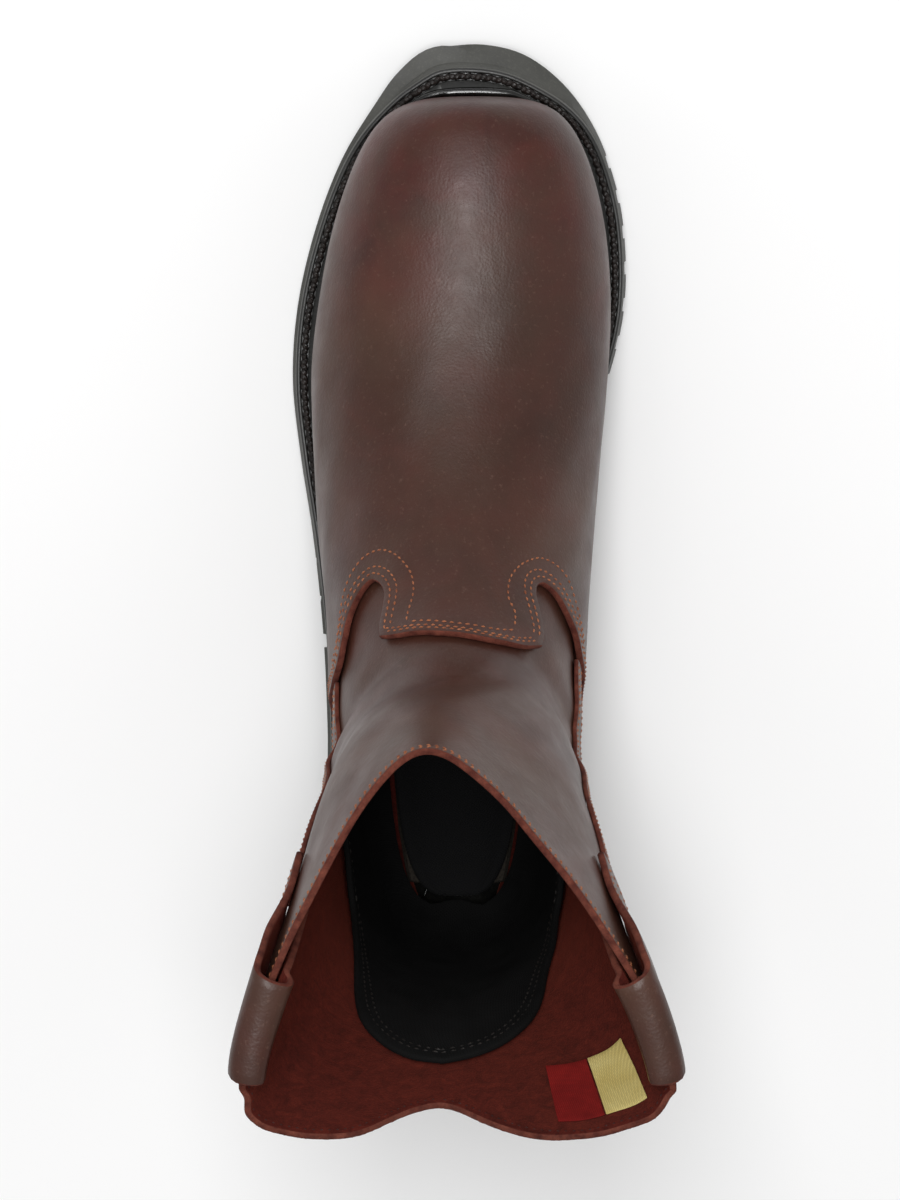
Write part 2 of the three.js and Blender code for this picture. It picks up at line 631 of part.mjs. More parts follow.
const COUNTER_FRONT = 0.31; // turn share of the counter's front edge
const COUNTER_FROM = 10.95;
const COUNTER_TOP = 14.3;
const STIFFENER_TOP = 14;
const counterTop = (height) => (t) => height - 3 * ((0.5 - t) / 0.2) ** 2;
const counterCover = () => (
  backLayer(COUNTER_FRONT - 0.005, COUNTER_FROM, counterTop(COUNTER_TOP), MARGIN, OUTER_LAYER)
);
const heelStiffener = () => (
  backLayer(COUNTER_FRONT, COUNTER_FROM, counterTop(STIFFENER_TOP), BACK_SHARE, STIFFENER_LAYER)
);

// The heel lining lies behind the stiffener low down and against the shaft above it.
function heelLining() {
  const outer = (s, t) => {
    const low = 1 - THREE.MathUtils.smoothstep(s, STIFFENER_TOP + 0.1, STIFFENER_TOP + 1.2);
    const behind = THREE.MathUtils.smoothstep(Math.min(t, 1 - t), COUNTER_FRONT - 0.07, COUNTER_FRONT - 0.01);
    return lerp(LINING_LAYER.outer, HEEL_LINING_DEPTH, low * behind);
  };
  const inner = (s, t) => outer(s, t) - LINING;
  const top = (t) => through(LINING_TOP, fromFront(t));
  const bottom = (t) => Math.max(LINING_SEAM, seatEnd(t, INTERLINING_SHARE));
  const stops = [0, ...BACK_STOPS, 0.29, 0.33, 0.37, 0.41, 0.45, 0.5 - SLIT];
  const columns = mirrored(stops).map((v) => 0.5 + v);
  const highest = LINING_TOP[LINING_TOP.length - 1][1];
  const rings = [LINING_SEAM, ...BACK_RINGS.filter((s) => s > LINING_SEAM && s < highest), highest];
  return layer(columns, rings, (t) => [bottom(t), top(t)], { outer, inner });
}

// Strip that covers a side seam, from the counter up to the pull tab.
const STRIP_HALF = 0.011; // half the strip's width, as a share of the turn
const STRIP_FROM = 10.85;
const STRIP_TO = 16.6;
const STRIP_THICKNESS = 1.2;
function seamStrip(sideSign) {
  const middle = sideSign * SEAM_SIDE;
  const columns = evenly(middle - STRIP_HALF, middle + STRIP_HALF, 2);
  const rings = evenly(STRIP_FROM, STRIP_TO, 8);
  return layer(columns, rings, () => [STRIP_FROM, STRIP_TO], { outer: GAP + STRIP_THICKNESS, inner: GAP });
}

// ---------------------------------------------------------------- pull tabs and label

const TAB_HALF = 0.03; // half the tab's width, as a share of the collar's turn
const TAB_COLUMNS = 4;
const TAB_SIDE = 0.208;
const tabMiddle = (sideSign) => sideSign * TAB_SIDE;
const tabColumns = (sideSign) => {
  const middle = tabMiddle(sideSign);
  return evenly(middle - TAB_HALF, middle + TAB_HALF, TAB_COLUMNS);
};

// A point near the collar: out is measured from the middle of the leather, up from its edge.
function byCollar(t, out, up) {
  const s = collarRing(t);
  const normal = formNormal(s, t);
  const rise = formPoint(s + 0.01, t).sub(formPoint(s - 0.01, t));
  rise.addScaledVector(normal, -rise.dot(normal)).normalize();
  return onForm(s, t, -LEATHER / 2).addScaledVector(normal, out).addScaledVector(rise, up);
}

// The loop's middle line at the tab's front edge, as [out, up], from inside the boot over the
// collar to the outside. Towards its back edge the loop leans in over the boot.
const LOOP_LINE = [
  [-3.1, 0.9], [-5, 3.6], [-4.3, 6.5], [0, 8], [4, 7.1], [5.7, 4.2], [5.9, 0], [5.8, -4],
];
const LEAN = 3; // how far the loop leans in at the tab's back edge
const LEAN_GROWS = 0.35; // the first share of the loop's line, over which the lean comes in

// 0 at the tab's front edge and 1 at its back edge.
const acrossTab = (t) => (Math.abs(t) - TAB_SIDE + TAB_HALF) / (2 * TAB_HALF);

function pullLoop(sideSign) {
  const curve = new THREE.SplineCurve(LOOP_LINE.map(([out, up]) => new THREE.Vector2(out, up)));
  const place = (depth) => (t, v) => {
    const point = curve.getPoint(v);
    const tangent = curve.getTangent(v);
    const out = point.x - LEAN * acrossTab(t) * THREE.MathUtils.smoothstep(v, 0, LEAN_GROWS);
    return byCollar(t, out - tangent.y * depth, point.y + tangent.x * depth);
  };
  return slab(tabColumns(sideSign), evenly(0, 1, 11), place(TAB_STRIP / 2), place(-TAB_STRIP / 2));
}

// A layer hung from the collar: heights are ring numbers below its edge.
function collarLayer(columns, heights, depths) {
  const place = (depth) => (t, below) => {
    const s = collarRing(t) - below;
    return onForm(s, t, typeof depth === 'function' ? depth(below, t) : depth);
  };
  return slab(columns, heights, place(depths.outer), place(depths.inner));
}

const INNER_LEG = [1.35, 0.12]; // rings below the collar's edge, bottom and top
const OUTER_LEG = [1.7, 0.42];
const OUTER_LEG_STAND = 3.2; // how far the outer leg stands off the shaft at the top of its front edge
const LABEL = [1.02, 0.2];
const LABEL_THICKNESS = 0.5;

function tabInner(sideSign) {
  const outer = -LEATHER - 4 * GAP;
  return collarLayer(tabColumns(sideSign), evenly(...INNER_LEG, 4), { outer, inner: outer - TAB_STRIP });
}

// The outer leg is sewn flat below and stands off the shaft towards the loop.
function tabOuter(sideSign) {
  const raised = (below) => 1 - THREE.MathUtils.smoothstep(below, 0.35, 1.3);
  const stand = (below, t) => 2 * GAP + (OUTER_LEG_STAND - LEAN * acrossTab(t)) * raised(below);
  const outer = (below, t) => stand(below, t) + TAB_STRIP;
  return collarLayer(tabColumns(sideSign), evenly(...OUTER_LEG, 7), { outer, inner: stand });
}

function labelPart(from, to) {
  const outer = -LEATHER - 2 * GAP;
  return collarLayer(evenly(from, to, 4), evenly(...LABEL, 3), { outer, inner: outer - LABEL_THICKNESS });
}

// ---------------------------------------------------------------- assembly

function finish(color, roughness, metalness = 0) {
  return new THREE.MeshStandardMaterial({ color, roughness, metalness });
}
const leather = finish(0x4b3129, 0.5);
const liningCloth = finish(0x141414, 0.95);
const rubber = finish(0x26262a, 0.6);
const blackWelt = finish(0x1b1b1a, 0.35);
const thread = finish(0x2a1c14, 0.7);
const steel = finish(0xb4b8bc, 0.3, 1);
const felt = finish(0x8d8578, 1);
const board = finish(0xb08a5a, 0.9);
const cork = finish(0xa8794a, 1);
const foam = finish(0x202226, 0.95);
const fibre = finish(0x9c8a6c, 0.8);
const creamLabel = finish(0xd6c27a, 0.8);
const redLabel = finish(0x7d1512, 0.8);

const boot = new THREE.Group();

function add(name, geometry, material) {
  const mesh = new THREE.Mesh(geometry, material);
  mesh.name = name;
  boot.add(mesh);
}

add('outsole', outsole(), rubber);
add('heel_block', heelBlock(), rubber);
add('heel_lift', heelLift(), rubber);
NAILS.forEach((place, i) => add(`heel_nail_${i + 1}`, heelNail(place), steel));
add('midsole', midsole(), rubber);
add('storm_welt', welt(), blackWelt);
add('outseam_thread', outseamThread(), thread);
add('insole_board', insoleBoard(), board);
add('cork_filler', corkFiller(), cork);
add('steel_shank', shank(), steel);
add('footbed', footbed(), foam);
add('steel_toe_cap', steelToeCap(), steel);
add('vamp', vamp(), leather);
add('vamp_interlining', vampInterlining(), felt);
add('vamp_lining', vampLining(), liningCloth);
add('front_shaft', frontShaft(), leather);
add('back_shaft', backShaft(), leather);
add('heel_stiffener', heelStiffener(), fibre);
add('counter_cover', counterCover(), leather);
add('heel_lining', heelLining(), liningCloth);
for (const [word, sign] of [['outer', 1], ['inner', -1]]) {
  add(`seam_strip_${word}_side`, seamStrip(sign), leather);
  add(`pull_tab_leg_outside_${word}_side`, tabOuter(sign), leather);
  add(`pull_tab_leg_inside_${word}_side`, tabInner(sign), leather);
  add(`pull_loop_${word}_side`, pullLoop(sign), leather);
}
add('label_size', labelPart(-0.375, -0.325), creamLabel);
add('label_care', labelPart(-0.412, -0.377), redLabel);

// The origin is under the middle of the whole boot, on the ground.
const bounds = new THREE.Box3().setFromObject(boot);
const middle = bounds.getCenter(new THREE.Vector3());
boot.position.set(-middle.x, -middle.y, -bounds.min.z);

export default boot;
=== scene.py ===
import math

import bmesh
import bpy
import numpy as np
from mathutils import Matrix, Vector
from mathutils.bvhtree import BVHTree
from mathutils.geometry import delaunay_2d_cdt


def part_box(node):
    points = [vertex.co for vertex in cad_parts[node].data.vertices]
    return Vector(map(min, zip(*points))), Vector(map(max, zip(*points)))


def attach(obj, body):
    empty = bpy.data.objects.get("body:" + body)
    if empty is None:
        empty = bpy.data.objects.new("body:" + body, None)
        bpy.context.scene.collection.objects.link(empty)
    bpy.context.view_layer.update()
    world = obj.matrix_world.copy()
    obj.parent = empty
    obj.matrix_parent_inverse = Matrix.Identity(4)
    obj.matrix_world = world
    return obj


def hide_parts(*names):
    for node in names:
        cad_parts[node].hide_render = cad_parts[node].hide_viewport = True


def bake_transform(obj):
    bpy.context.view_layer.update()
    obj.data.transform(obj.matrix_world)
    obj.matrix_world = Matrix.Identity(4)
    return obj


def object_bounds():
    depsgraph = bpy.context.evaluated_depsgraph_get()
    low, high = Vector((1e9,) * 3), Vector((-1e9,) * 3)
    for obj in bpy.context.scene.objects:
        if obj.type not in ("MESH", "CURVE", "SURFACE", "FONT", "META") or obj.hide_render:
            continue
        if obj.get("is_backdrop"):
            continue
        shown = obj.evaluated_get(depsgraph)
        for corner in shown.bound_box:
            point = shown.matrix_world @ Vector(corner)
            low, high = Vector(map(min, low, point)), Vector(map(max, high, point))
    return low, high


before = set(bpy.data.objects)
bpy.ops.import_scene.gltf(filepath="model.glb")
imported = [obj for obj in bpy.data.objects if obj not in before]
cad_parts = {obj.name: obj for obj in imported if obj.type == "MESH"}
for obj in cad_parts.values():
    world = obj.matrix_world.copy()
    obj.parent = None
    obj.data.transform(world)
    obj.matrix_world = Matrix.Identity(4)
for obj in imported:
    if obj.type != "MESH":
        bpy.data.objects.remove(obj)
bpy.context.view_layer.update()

# ---------------------------------------------------------------- camera, lights and floor

EYE = Vector((-0.0008, -0.17275, 1.450))
LOOK = Vector((0.00237, 0.14225, -1.0)).normalized()
LENS = 168.7


def make_camera():
    data = bpy.data.cameras.new("camera")
    data.sensor_fit = "HORIZONTAL"
    data.sensor_width = 36.0
    data.lens = LENS
    data.clip_end = 20.0
    camera = bpy.data.objects.new("camera", data)
    right = LOOK.cross(Vector((0, -1, 0))).normalized()
    up = right.cross(LOOK)
    camera.matrix_world = Matrix.Translation(EYE) @ Matrix((right, up, -LOOK)).transposed().to_4x4()
    bpy.context.scene.collection.objects.link(camera)
    bpy.context.scene.camera = camera


def soft_light(name, place, target, size, power):
    data = bpy.data.lights.new(name, "AREA")
    data.shape = "RECTANGLE"
    data.size, data.size_y = size
    data.energy = power
    light = bpy.data.objects.new(name, data)
    light.location = place
    light.rotation_euler = (Vector(target) - Vector(place)).to_track_quat("-Z", "Y").to_euler()
    bpy.context.scene.collection.objects.link(light)


make_camera()
soft_light("left_box", (1.1, -0.1, 1.0), (0, 0, 0.1), (0.5, 1.4), 1.2)
soft_light("right_box", (-1.1, -0.2, 0.9), (0, 0, 0.1), (0.5, 1.4), 1.0)
soft_light("toe_box", (0.25, -1.2, 1.3), (0, -0.05, 0.05), (0.9, 0.5), 3.2)
soft_light("heel_box", (0.0, 1.3, 1.2), (0, 0.1, 0.2), (1.2, 0.5), 1.4)
soft_light("top_box", (0.05, -0.3, 1.75), (0, -0.02, 0.1), (0.45, 0.9), 19.0)

world = bpy.data.worlds.new("studio")
world.use_nodes = True
world.node_tree.nodes["Background"].inputs["Color"].default_value = (1, 1, 1, 1)
world.node_tree.nodes["Background"].inputs["Strength"].default_value = 0.38
bpy.context.scene.world = world
bpy.context.scene.view_settings.view_transform = "Standard"

# ---------------------------------------------------------------- the boot's form

MM = 0.001  # in metres

# Driving dimensions in millimetres, as in the CAD.
GAP = 0.3
LEATHER = 2.1
LINING = 1.3
TUCK = 0.5
FOOTBED = 4.2
MIDSOLE = 3.3
BOARD = 2.2
LUG_DEPTH = 4.5
LUG_PITCH = 12.5
GROOVE = 4.5
GROOVE_TURN = 0.2
HEEL_BREAST = 226.0
HEEL_TOP = 16.4
LIFT_TOP = 7.2
TAB_STRIP = 2.0
MARGIN = 0.72
COVER_OUT = GAP + LEATHER
LINING_OUT = -TUCK - LEATHER - 2 * GAP

NAILS = [(-20, 246), (26, 246), (-22, 272), (28, 272), (-10, 294), (17, 294)]
NAIL_HOLE = 2.9

# The first nail's place ties the CAD's own distances to the frame's.
nail_low, nail_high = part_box("heel_nail_1")
ORIGIN = np.array([
    (nail_low.x + nail_high.x) / 2 / MM - NAILS[0][0],
    (nail_low.y + nail_high.y) / 2 / MM - NAILS[0][1],
    0.0,
])

# Rings of the form: front y, z and x shift, back y, z and x shift, half width, middle x, place
# of the widest point, squareness of the front and back halves.
RINGS = np.array([
    [19, 38, 0, 19, 38, 0, 0, -5, 0.5, 2, 2],
    [19, 52, 0, 19, 24, 0, 14, -5, 0.55, 2.1, 2.6],
    [22, 60, 0, 22, 19, 0, 26, -4.8, 0.6, 2.2, 3],
    [31, 66, 0, 31, 17, 0, 33.5, -4.3, 0.64, 2.3, 3.4],
    [44, 69, 0, 44, 15, 0, 39, -3.8, 0.67, 2.3, 3.6],
    [62, 71, 0, 62, 14.2, 0, 44, -3, 0.7, 2.3, 3.8],
    [86, 74, 0, 86, 14, 0, 47.2, -1.6, 0.7, 2.25, 3.8],
    [112, 81, 0, 112, 14, 0, 47.8, 0.4, 0.68, 2.2, 3.8],
    [137, 95, 0, 140, 16, 0, 45.5, 1.2, 0.64, 2.15, 3.6],
    [156, 111, 0, 172, 20, 0, 43, 1.2, 0.56, 2.1, 3.6],
    [171, 126, 0, 206, 26, 0, 40.5, 1, 0.5, 2.1, 3.6],
    [181, 139, 0, 246, 31, 0, 39, 1, 0.42, 2.1, 3.2],
    [187, 151, 0, 290, 31, 0, 39, 1, 0.38, 2.1, 2.8],
    [190, 162, 0, 306, 52, 0, 39.8, 1, 0.4, 2.1, 2.5],
    [192, 173, 1, 304, 92, 0, 40.5, 1.2, 0.42, 2.1, 2.4],
    [193, 186, 3, 297, 134, 1, 42, 1.4, 0.48, 2, 2.4],
    [195, 202, 6, 296, 172, 2, 46, 1.6, 0.58, 1.8, 2.6],
    [199, 222, 8, 303, 206, 4, 53.5, 1.6, 0.73, 1.5, 2.8],
    [204, 244, 9, 313, 238, 6, 61.5, 1, 0.83, 1.38, 2.7],
    [209, 268, 9, 324, 268, 6, 67.5, 0.5, 0.86, 1.34, 2.7],
], float)
SOFT = 0.02
SQUARE_BLEND = 0.5


def smooth(x, a, b):
    q = np.clip((np.asarray(x, float) - a) / (b - a), 0, 1)
    return q * q * (3 - 2 * q)


def bump(x, width):
    return np.exp(-((np.asarray(x, float) / width) ** 2))


def rings_at(s):
    padded = np.vstack([2 * RINGS[0] - RINGS[1], RINGS, 2 * RINGS[-1] - RINGS[-2]])
    i = np.clip(np.floor(s).astype(int), 0, len(RINGS) - 2)
    f = s - i
    weights = np.stack([
        (1 - f) ** 3, 3 * f**3 - 6 * f**2 + 4, -3 * f**3 + 3 * f**2 + 3 * f + 1, f**3,
    ], -1) / 6
    return sum(weights[..., k:k + 1] * padded[i + k] for k in range(4))


def soft_power(q, n):
    return ((q + SOFT) ** (n / 2) - SOFT ** (n / 2)) / ((1 + SOFT) ** (n / 2) - SOFT ** (n / 2))


def form(s, t):
    """Points of the form in the boot's own millimetres. t runs round from the front by the outer side."""
    s, t = np.broadcast_arrays(np.asarray(s, float), np.asarray(t, float))
    y_f, z_f, x_f, y_b, z_b, x_b, width, x_mid, place, n_f, n_b = rings_at(s.ravel()).T
    turn = 2 * np.pi * t.ravel()
    c, side = np.cos(turn), np.sin(turn)
    depth = np.maximum(np.hypot(y_b - y_f, z_b - z_f), 1e-9)
    reach = depth * np.where(c > 0, place, 1 - place)
    n = n_f + (n_b - n_f) * smooth(-c, 0, SQUARE_BLEND)
    radius = (soft_power(c**2, n) + soft_power(side**2, n)) ** (-1 / n)
    along = radius * c * reach / depth
    x = x_mid + width * radius * side + np.where(c > 0, x_f, x_b) * (radius * c) ** 2
    y = y_f + (y_b - y_f) * place + along * (y_f - y_b)
    z = z_f + (z_b - z_f) * place + along * (z_f - z_b)
    return np.stack([x, y, z], -1).reshape(s.shape + (3,))


def unit(v):
    return v / np.maximum(np.linalg.norm(v, axis=-1, keepdims=True), 1e-9)


def form_normal(s, t):
    step = 1e-3
    s, t = np.broadcast_arrays(np.asarray(s, float), np.asarray(t, float))
    s = np.maximum(s, 0.05)
    along_s = form(s + step, t) - form(s - step, t)
    along_t = form(s, t + step) - form(s, t - step)
    return unit(np.cross(along_t, along_s))


# Soft folds of the leather at the ankle and the throat, as [t, ring, length in t, width in
# rings, slope in rings per t, depth]. All layers of the upper share them.
FOLDS = [
    [0.15, 12.2, 0.07, 0.45, 6.0, -1.5],
    [0.20, 13.3, 0.06, 0.5, 5.0, 1.1],
    [-0.15, 11.8, 0.07, 0.4, -7.0, -1.6],
    [-0.19, 12.9, 0.06, 0.45, -6.0, -1.3],
    [-0.13, 13.9, 0.06, 0.6, -4.0, 1.0],
    [0.04, 13.4, 0.08, 0.7, 2.0, -0.8],
    [0.10, 15.6, 0.08, 0.8, 4.0, 0.9],
    [-0.08, 16.2, 0.06, 0.8, -5.0, -0.9],
    [0.30, 12.8, 0.06, 0.35, -3.0, -0.7],
    [-0.30, 12.6, 0.06, 0.35, 3.0, -0.7],
    [0.34, 15.6, 0.06, 0.5, 0.0, -0.8],
    [-0.36, 15.9, 0.06, 0.5, 0.0, -0.8],
]


def folds(s, t):
    s, t = np.broadcast_arrays(np.asarray(s, float), np.asarray(t, float))
    t = (t + 0.5) % 1 - 0.5
    depth = np.zeros(s.shape)
    for t0, s0, length, width, slope, amount in FOLDS:
        depth += amount * bump(t - t0, length) * bump(s - s0 - slope * (t - t0), width)
    ripple = 0.22 * np.sin(41 * t + 1.7 * s) * np.sin(1.3 * s - 9 * t) + 0.12 * np.sin(90 * t - 3.1 * s)
    return depth + ripple * smooth(s, 4.5, 7)


def on_form(s, t, depth):
    """The form's surface moved out by depth, with the folds."""
    depth = np.asarray(depth, float) + folds(s, t) * smooth(s, 4.3, 6.5)
    return form(s, t) + depth[..., None] * form_normal(s, t)


# ---------------------------------------------------------------- lines on the form

SEAT_TABLE_S = np.arange(0, 13.01, 0.125)


def seat_table():
    halves = []
    turn = np.linspace(0.5, 0.25, 400)
    for s in SEAT_TABLE_S:
        down = form_normal(np.full_like(turn, s), turn)[:, 2] < -0.7
        steps = len(turn) if down.all() else int(np.argmin(down))
        halves.append(0.5 - turn[steps - 1] if steps else 0.0)
    return np.array(halves)


SEAT_HALVES = seat_table()


def seat_half(s):
    return np.interp(s, SEAT_TABLE_S, SEAT_HALVES)


def seat_end(t, share):
    """Last ring of the sole opening at the heel, for lines round the heel at t."""
    s = np.arange(9, 12.6, 0.01)
    inside = share * seat_half(s)[None, :] > np.abs(0.5 - np.asarray(t, float))[:, None]
    last = inside.shape[1] - 1 - np.argmax(inside[:, ::-1], axis=1)
    return np.where(inside.any(1), s[last], 9.0)


def from_front(t):
    return np.abs(((np.asarray(t, float) + 0.5) % 1) - 0.5)


def collar_ring(t):
    a = from_front(t)
    wobble = 0.006 * np.sin(61 * np.asarray(t)) + 0.004 * np.sin(143 * np.asarray(t) + 1)
    return 18.4 - 0.85 * bump(a, 0.1) - 0.62 * bump(a - 0.5, 0.05) + wobble


def curve_through(points, spacing):
    """A smooth line through the points, by centripetal Catmull-Rom, at about equal steps."""
    p = np.asarray(points, float)
    p = np.vstack([2 * p[0] - p[1], p, 2 * p[-1] - p[-2]])
    out = []
    for i in range(1, len(p) - 2):
        a, b, c, d = p[i - 1:i + 3]
        k = [0.0]
        for u, v in ((a, b), (b, c), (c, d)):
            k.append(k[-1] + max(np.linalg.norm(v - u), 1e-9) ** 0.5)
        steps = max(2, int(np.linalg.norm(c - b) / spacing))
        for x in np.linspace(k[1], k[2], steps, endpoint=False):
            ab = (k[1] - x) / k[1] * a + x / k[1] * b
            bc = (k[2] - x) / (k[2] - k[1]) * b + (x - k[1]) / (k[2] - k[1]) * c
            cd = (k[3] - x) / (k[3] - k[2]) * c + (x - k[2]) / (k[3] - k[2]) * d
            abc = (k[2] - x) / k[2] * ab + x / k[2] * bc
            bcd = (k[3] - x) / (k[3] - k[1]) * bc + (x - k[1]) / (k[3] - k[1]) * cd
            out.append((k[2] - x) / (k[2] - k[1]) * abc + (x - k[1]) / (k[2] - k[1]) * bcd)
    out.append(p[-2])
    return np.array(out)


T_SCALE = 20.0  # evens out [t, ring] so that line lengths make sense: one ring is about 0.05 of t


def line(points, spacing=0.06):
    """A smooth line through [t, ring] points."""
    scaled = np.array(points, float) * [T_SCALE, 1]
    return curve_through(scaled, spacing) / [T_SCALE, 1]


# The vamp's back edge, as [t, ring], in stretches that meet at the tongue's corners.
EDGE_OUTER_SIDE = [
    [0.42, 10.82], [0.34, 10.93], [0.26, 11.05], [0.21, 11.1], [0.184, 10.98], [0.168, 10.66],
    [0.152, 10.3], [0.134, 9.99], [0.117, 9.77], [0.106, 9.7], [0.0945, 9.79], [0.0885, 9.99],
    [0.09, 10.2], [0.0942, 10.5], [0.098, 10.77], [0.0975, 10.99],
]
EDGE_TONGUE = [
    [0.0975, 10.99], [0.078, 11.08], [0.043, 11.19], [0.02, 11.26], [-0.0126, 11.38],
    [-0.046, 11.43], [-0.081, 11.36], [-0.1115, 11.12],
]
EDGE_INNER_SIDE = [
    [-0.1115, 11.12], [-0.1122, 10.86], [-0.109, 10.6], [-0.104, 10.3], [-0.0985, 10.01],
    [-0.0995, 9.83], [-0.1077, 9.755], [-0.1187, 9.8], [-0.1355, 9.92], [-0.1555, 10.11],
    [-0.1775, 10.34], [-0.205, 10.6], [-0.24, 10.8], [-0.3, 10.92], [-0.36, 10.9], [-0.42, 10.82],
]
ROW_OUTER_HOOK = [
    [0.0611, 10.8], [0.0585, 10.53], [0.0546, 10.3], [0.0514, 10.05], [0.0533, 9.71], [0.063, 9.45],
    [0.076, 9.28], [0.09, 9.215], [0.111, 9.28], [0.13, 9.46], [0.1465, 9.7], [0.159, 9.97],
    [0.171, 10.3], [0.186, 10.62], [0.205, 10.78],
]
ROW_INNER_HOOK = [
    [-0.0715, 10.86], [-0.0705, 10.5], [-0.0624, 10.24], [-0.0608, 10.0], [-0.0637, 9.76],
    [-0.074, 9.53], [-0.0876, 9.4], [-0.101, 9.34], [-0.119, 9.375], [-0.139, 9.5],
    [-0.156, 9.67], [-0.174, 9.93], [-0.193, 10.2], [-0.215, 10.4],
]
ROW_TONGUE = [[0.0555, 10.84], [0.02, 10.93], [-0.0126, 11.03], [-0.046, 11.07], [-0.0715, 10.98]]

LINING_TOP_T = [0, 0.25, 0.36, 0.39, 0.45, 0.5]
LINING_TOP_S = [12.3, 13.6, 14.9, 16.2, 17.0, 17.2]
SEAM_SIDE = 0.214
SEAM_GAP = 0.003

# ---------------------------------------------------------------- mesh makers


def shade_smooth(mesh, sharp_angle=None):
    """Shades a mesh smoothly, but not over edges sharper than the angle in degrees."""
    mesh.polygons.foreach_set("use_smooth", np.ones(len(mesh.polygons), bool))
    if sharp_angle is not None:
        mesh.set_sharp_from_angle(angle=math.radians(sharp_angle))


def make_object(name, points, faces, materials, marks=None, shade=True):
    """A mesh object from points in the boot's millimetres. marks are material numbers by face."""
    mesh = bpy.data.meshes.new(name)
    metres = (np.asarray(points, float) + ORIGIN) * MM
    mesh.from_pydata(metres.tolist(), [], [list(f) for f in faces])
    for material in materials:
        mesh.materials.append(material)
    if marks is not None:
        mesh.polygons.foreach_set("material_index", np.asarray(marks, np.int32))
    cleaned = bmesh.new()
    cleaned.from_mesh(mesh)
    bmesh.ops.remove_doubles(cleaned, verts=cleaned.verts, dist=2e-6)
    bmesh.ops.dissolve_degenerate(cleaned, edges=cleaned.edges, dist=1e-6)
    bmesh.ops.recalc_face_normals(cleaned, faces=cleaned.faces)
    cleaned.to_mesh(mesh)
    cleaned.free()
    if shade:
        shade_smooth(mesh)
    thing = bpy.data.objects.new(name, mesh)
    bpy.context.scene.collection.objects.link(thing)
    return thing


def ring_faces(rings, size, closed=False):
    """Faces between closed rings of points that follow each other in the list of points."""
    faces = []
    for ring in range(rings if closed else rings - 1):
        a, b = ring * size, (ring + 1) % rings * size
        for i in range(size):
            j = (i + 1) % size
            faces.append([a + i, a + j, b + j, b + i])
    return faces


def tube_faces(lines, long):
    """Faces of a tube whose points are stored line by line, each line running along the tube."""
    faces = []
    for i in range(lines):
        a, b = i * long, (i + 1) % lines * long
        for k in range(long - 1):
            faces.append([a + k, b + k, b + k + 1, a + k + 1])
    return faces


def joined(parts):
    """One list of points and one of faces from several."""
    points, faces = [], []
    for part_points, part_faces in parts:
        base = len(points)
        points += list(part_points)
        faces += [[base + i for i in face] for face in part_faces]
    return points, faces


def conformal_table():
    """Girth of each ring and a stretched ring number in which a girth and a length agree."""
    s = np.linspace(0.03, 19, 800)
    t = np.linspace(0, 1, 121)
    ring = form(s[:, None], t[None, :])
    girth = np.linalg.norm(np.diff(ring, axis=1), axis=2).sum(1)
    step = np.linalg.norm(np.diff(ring, axis=0), axis=2).mean(1)
    middle = (girth[1:] + girth[:-1]) / 2
    return s, girth, np.concatenate([[0], np.cumsum(step / middle)])


TABLE_S, TABLE_GIRTH, TABLE_FLAT = conformal_table()


def flattened(loop):
    return np.stack([loop[:, 0], np.interp(loop[:, 1], TABLE_S, TABLE_FLAT)], -1)


def inside_loop(points, loop):
    a, b = loop, np.roll(loop, -1, axis=0)
    x, y = points[:, 0:1], points[:, 1:2]
    crosses = (a[None, :, 1] > y) != (b[None, :, 1] > y)
    rise = np.where(np.abs(b[:, 1] - a[:, 1]) < 1e-12, 1e-12, b[:, 1] - a[:, 1])
    at = a[None, :, 0] + (y - a[None, :, 1]) * ((b[:, 0] - a[:, 0]) / rise)[None, :]
    return (crosses & (x < at)).sum(1) % 2 == 1


def distance_to_loop(points, loop):
    a, b = loop, np.roll(loop, -1, axis=0)
    d = b - a
    f = ((points[:, None, :] - a[None]) * d[None]).sum(-1) / np.maximum((d**2).sum(-1), 1e-18)[None]
    near = a[None] + np.clip(f, 0, 1)[..., None] * d[None]
    return np.linalg.norm(points[:, None, :] - near, axis=-1).min(1)


WIDEST_STEP = 0.07


def fill(loop, spacing):
    """Points [t, ring] inside the loop at about that spacing in millimetres."""
    t_low, t_high = loop[:, 0].min(), loop[:, 0].max()
    flat = flattened(loop)
    f_low, f_high = flat[:, 1].min(), flat[:, 1].max()
    points = []
    f, odd = f_low, 0
    while f < f_high:
        s = np.interp(f, TABLE_FLAT, TABLE_S)
        step = min(spacing / np.interp(s, TABLE_S, TABLE_GIRTH), WIDEST_STEP)
        f += step * 0.87
        odd ^= 1
        s = np.interp(f, TABLE_FLAT, TABLE_S)
        count = max(3, int((t_high - t_low) / step))
        for t in t_low + (np.arange(count) + 0.5 * odd) * (t_high - t_low) / count:
            points.append((t, f, s, step))
    points = np.array(points)
    keep = inside_loop(points[:, :2], flat)
    points = points[keep]
    far = distance_to_loop(points[:, :2], flat) > 0.55 * points[:, 3]
    return points[far][:, [0, 2]], points[far][:, :2]


# The cut edge's section, as (share of the thickness, share of the bulge).
CUT_EDGE = [(0.07, 0.55), (0.25, 0.95), (0.5, 1.0), (0.75, 0.95), (0.93, 0.55)]


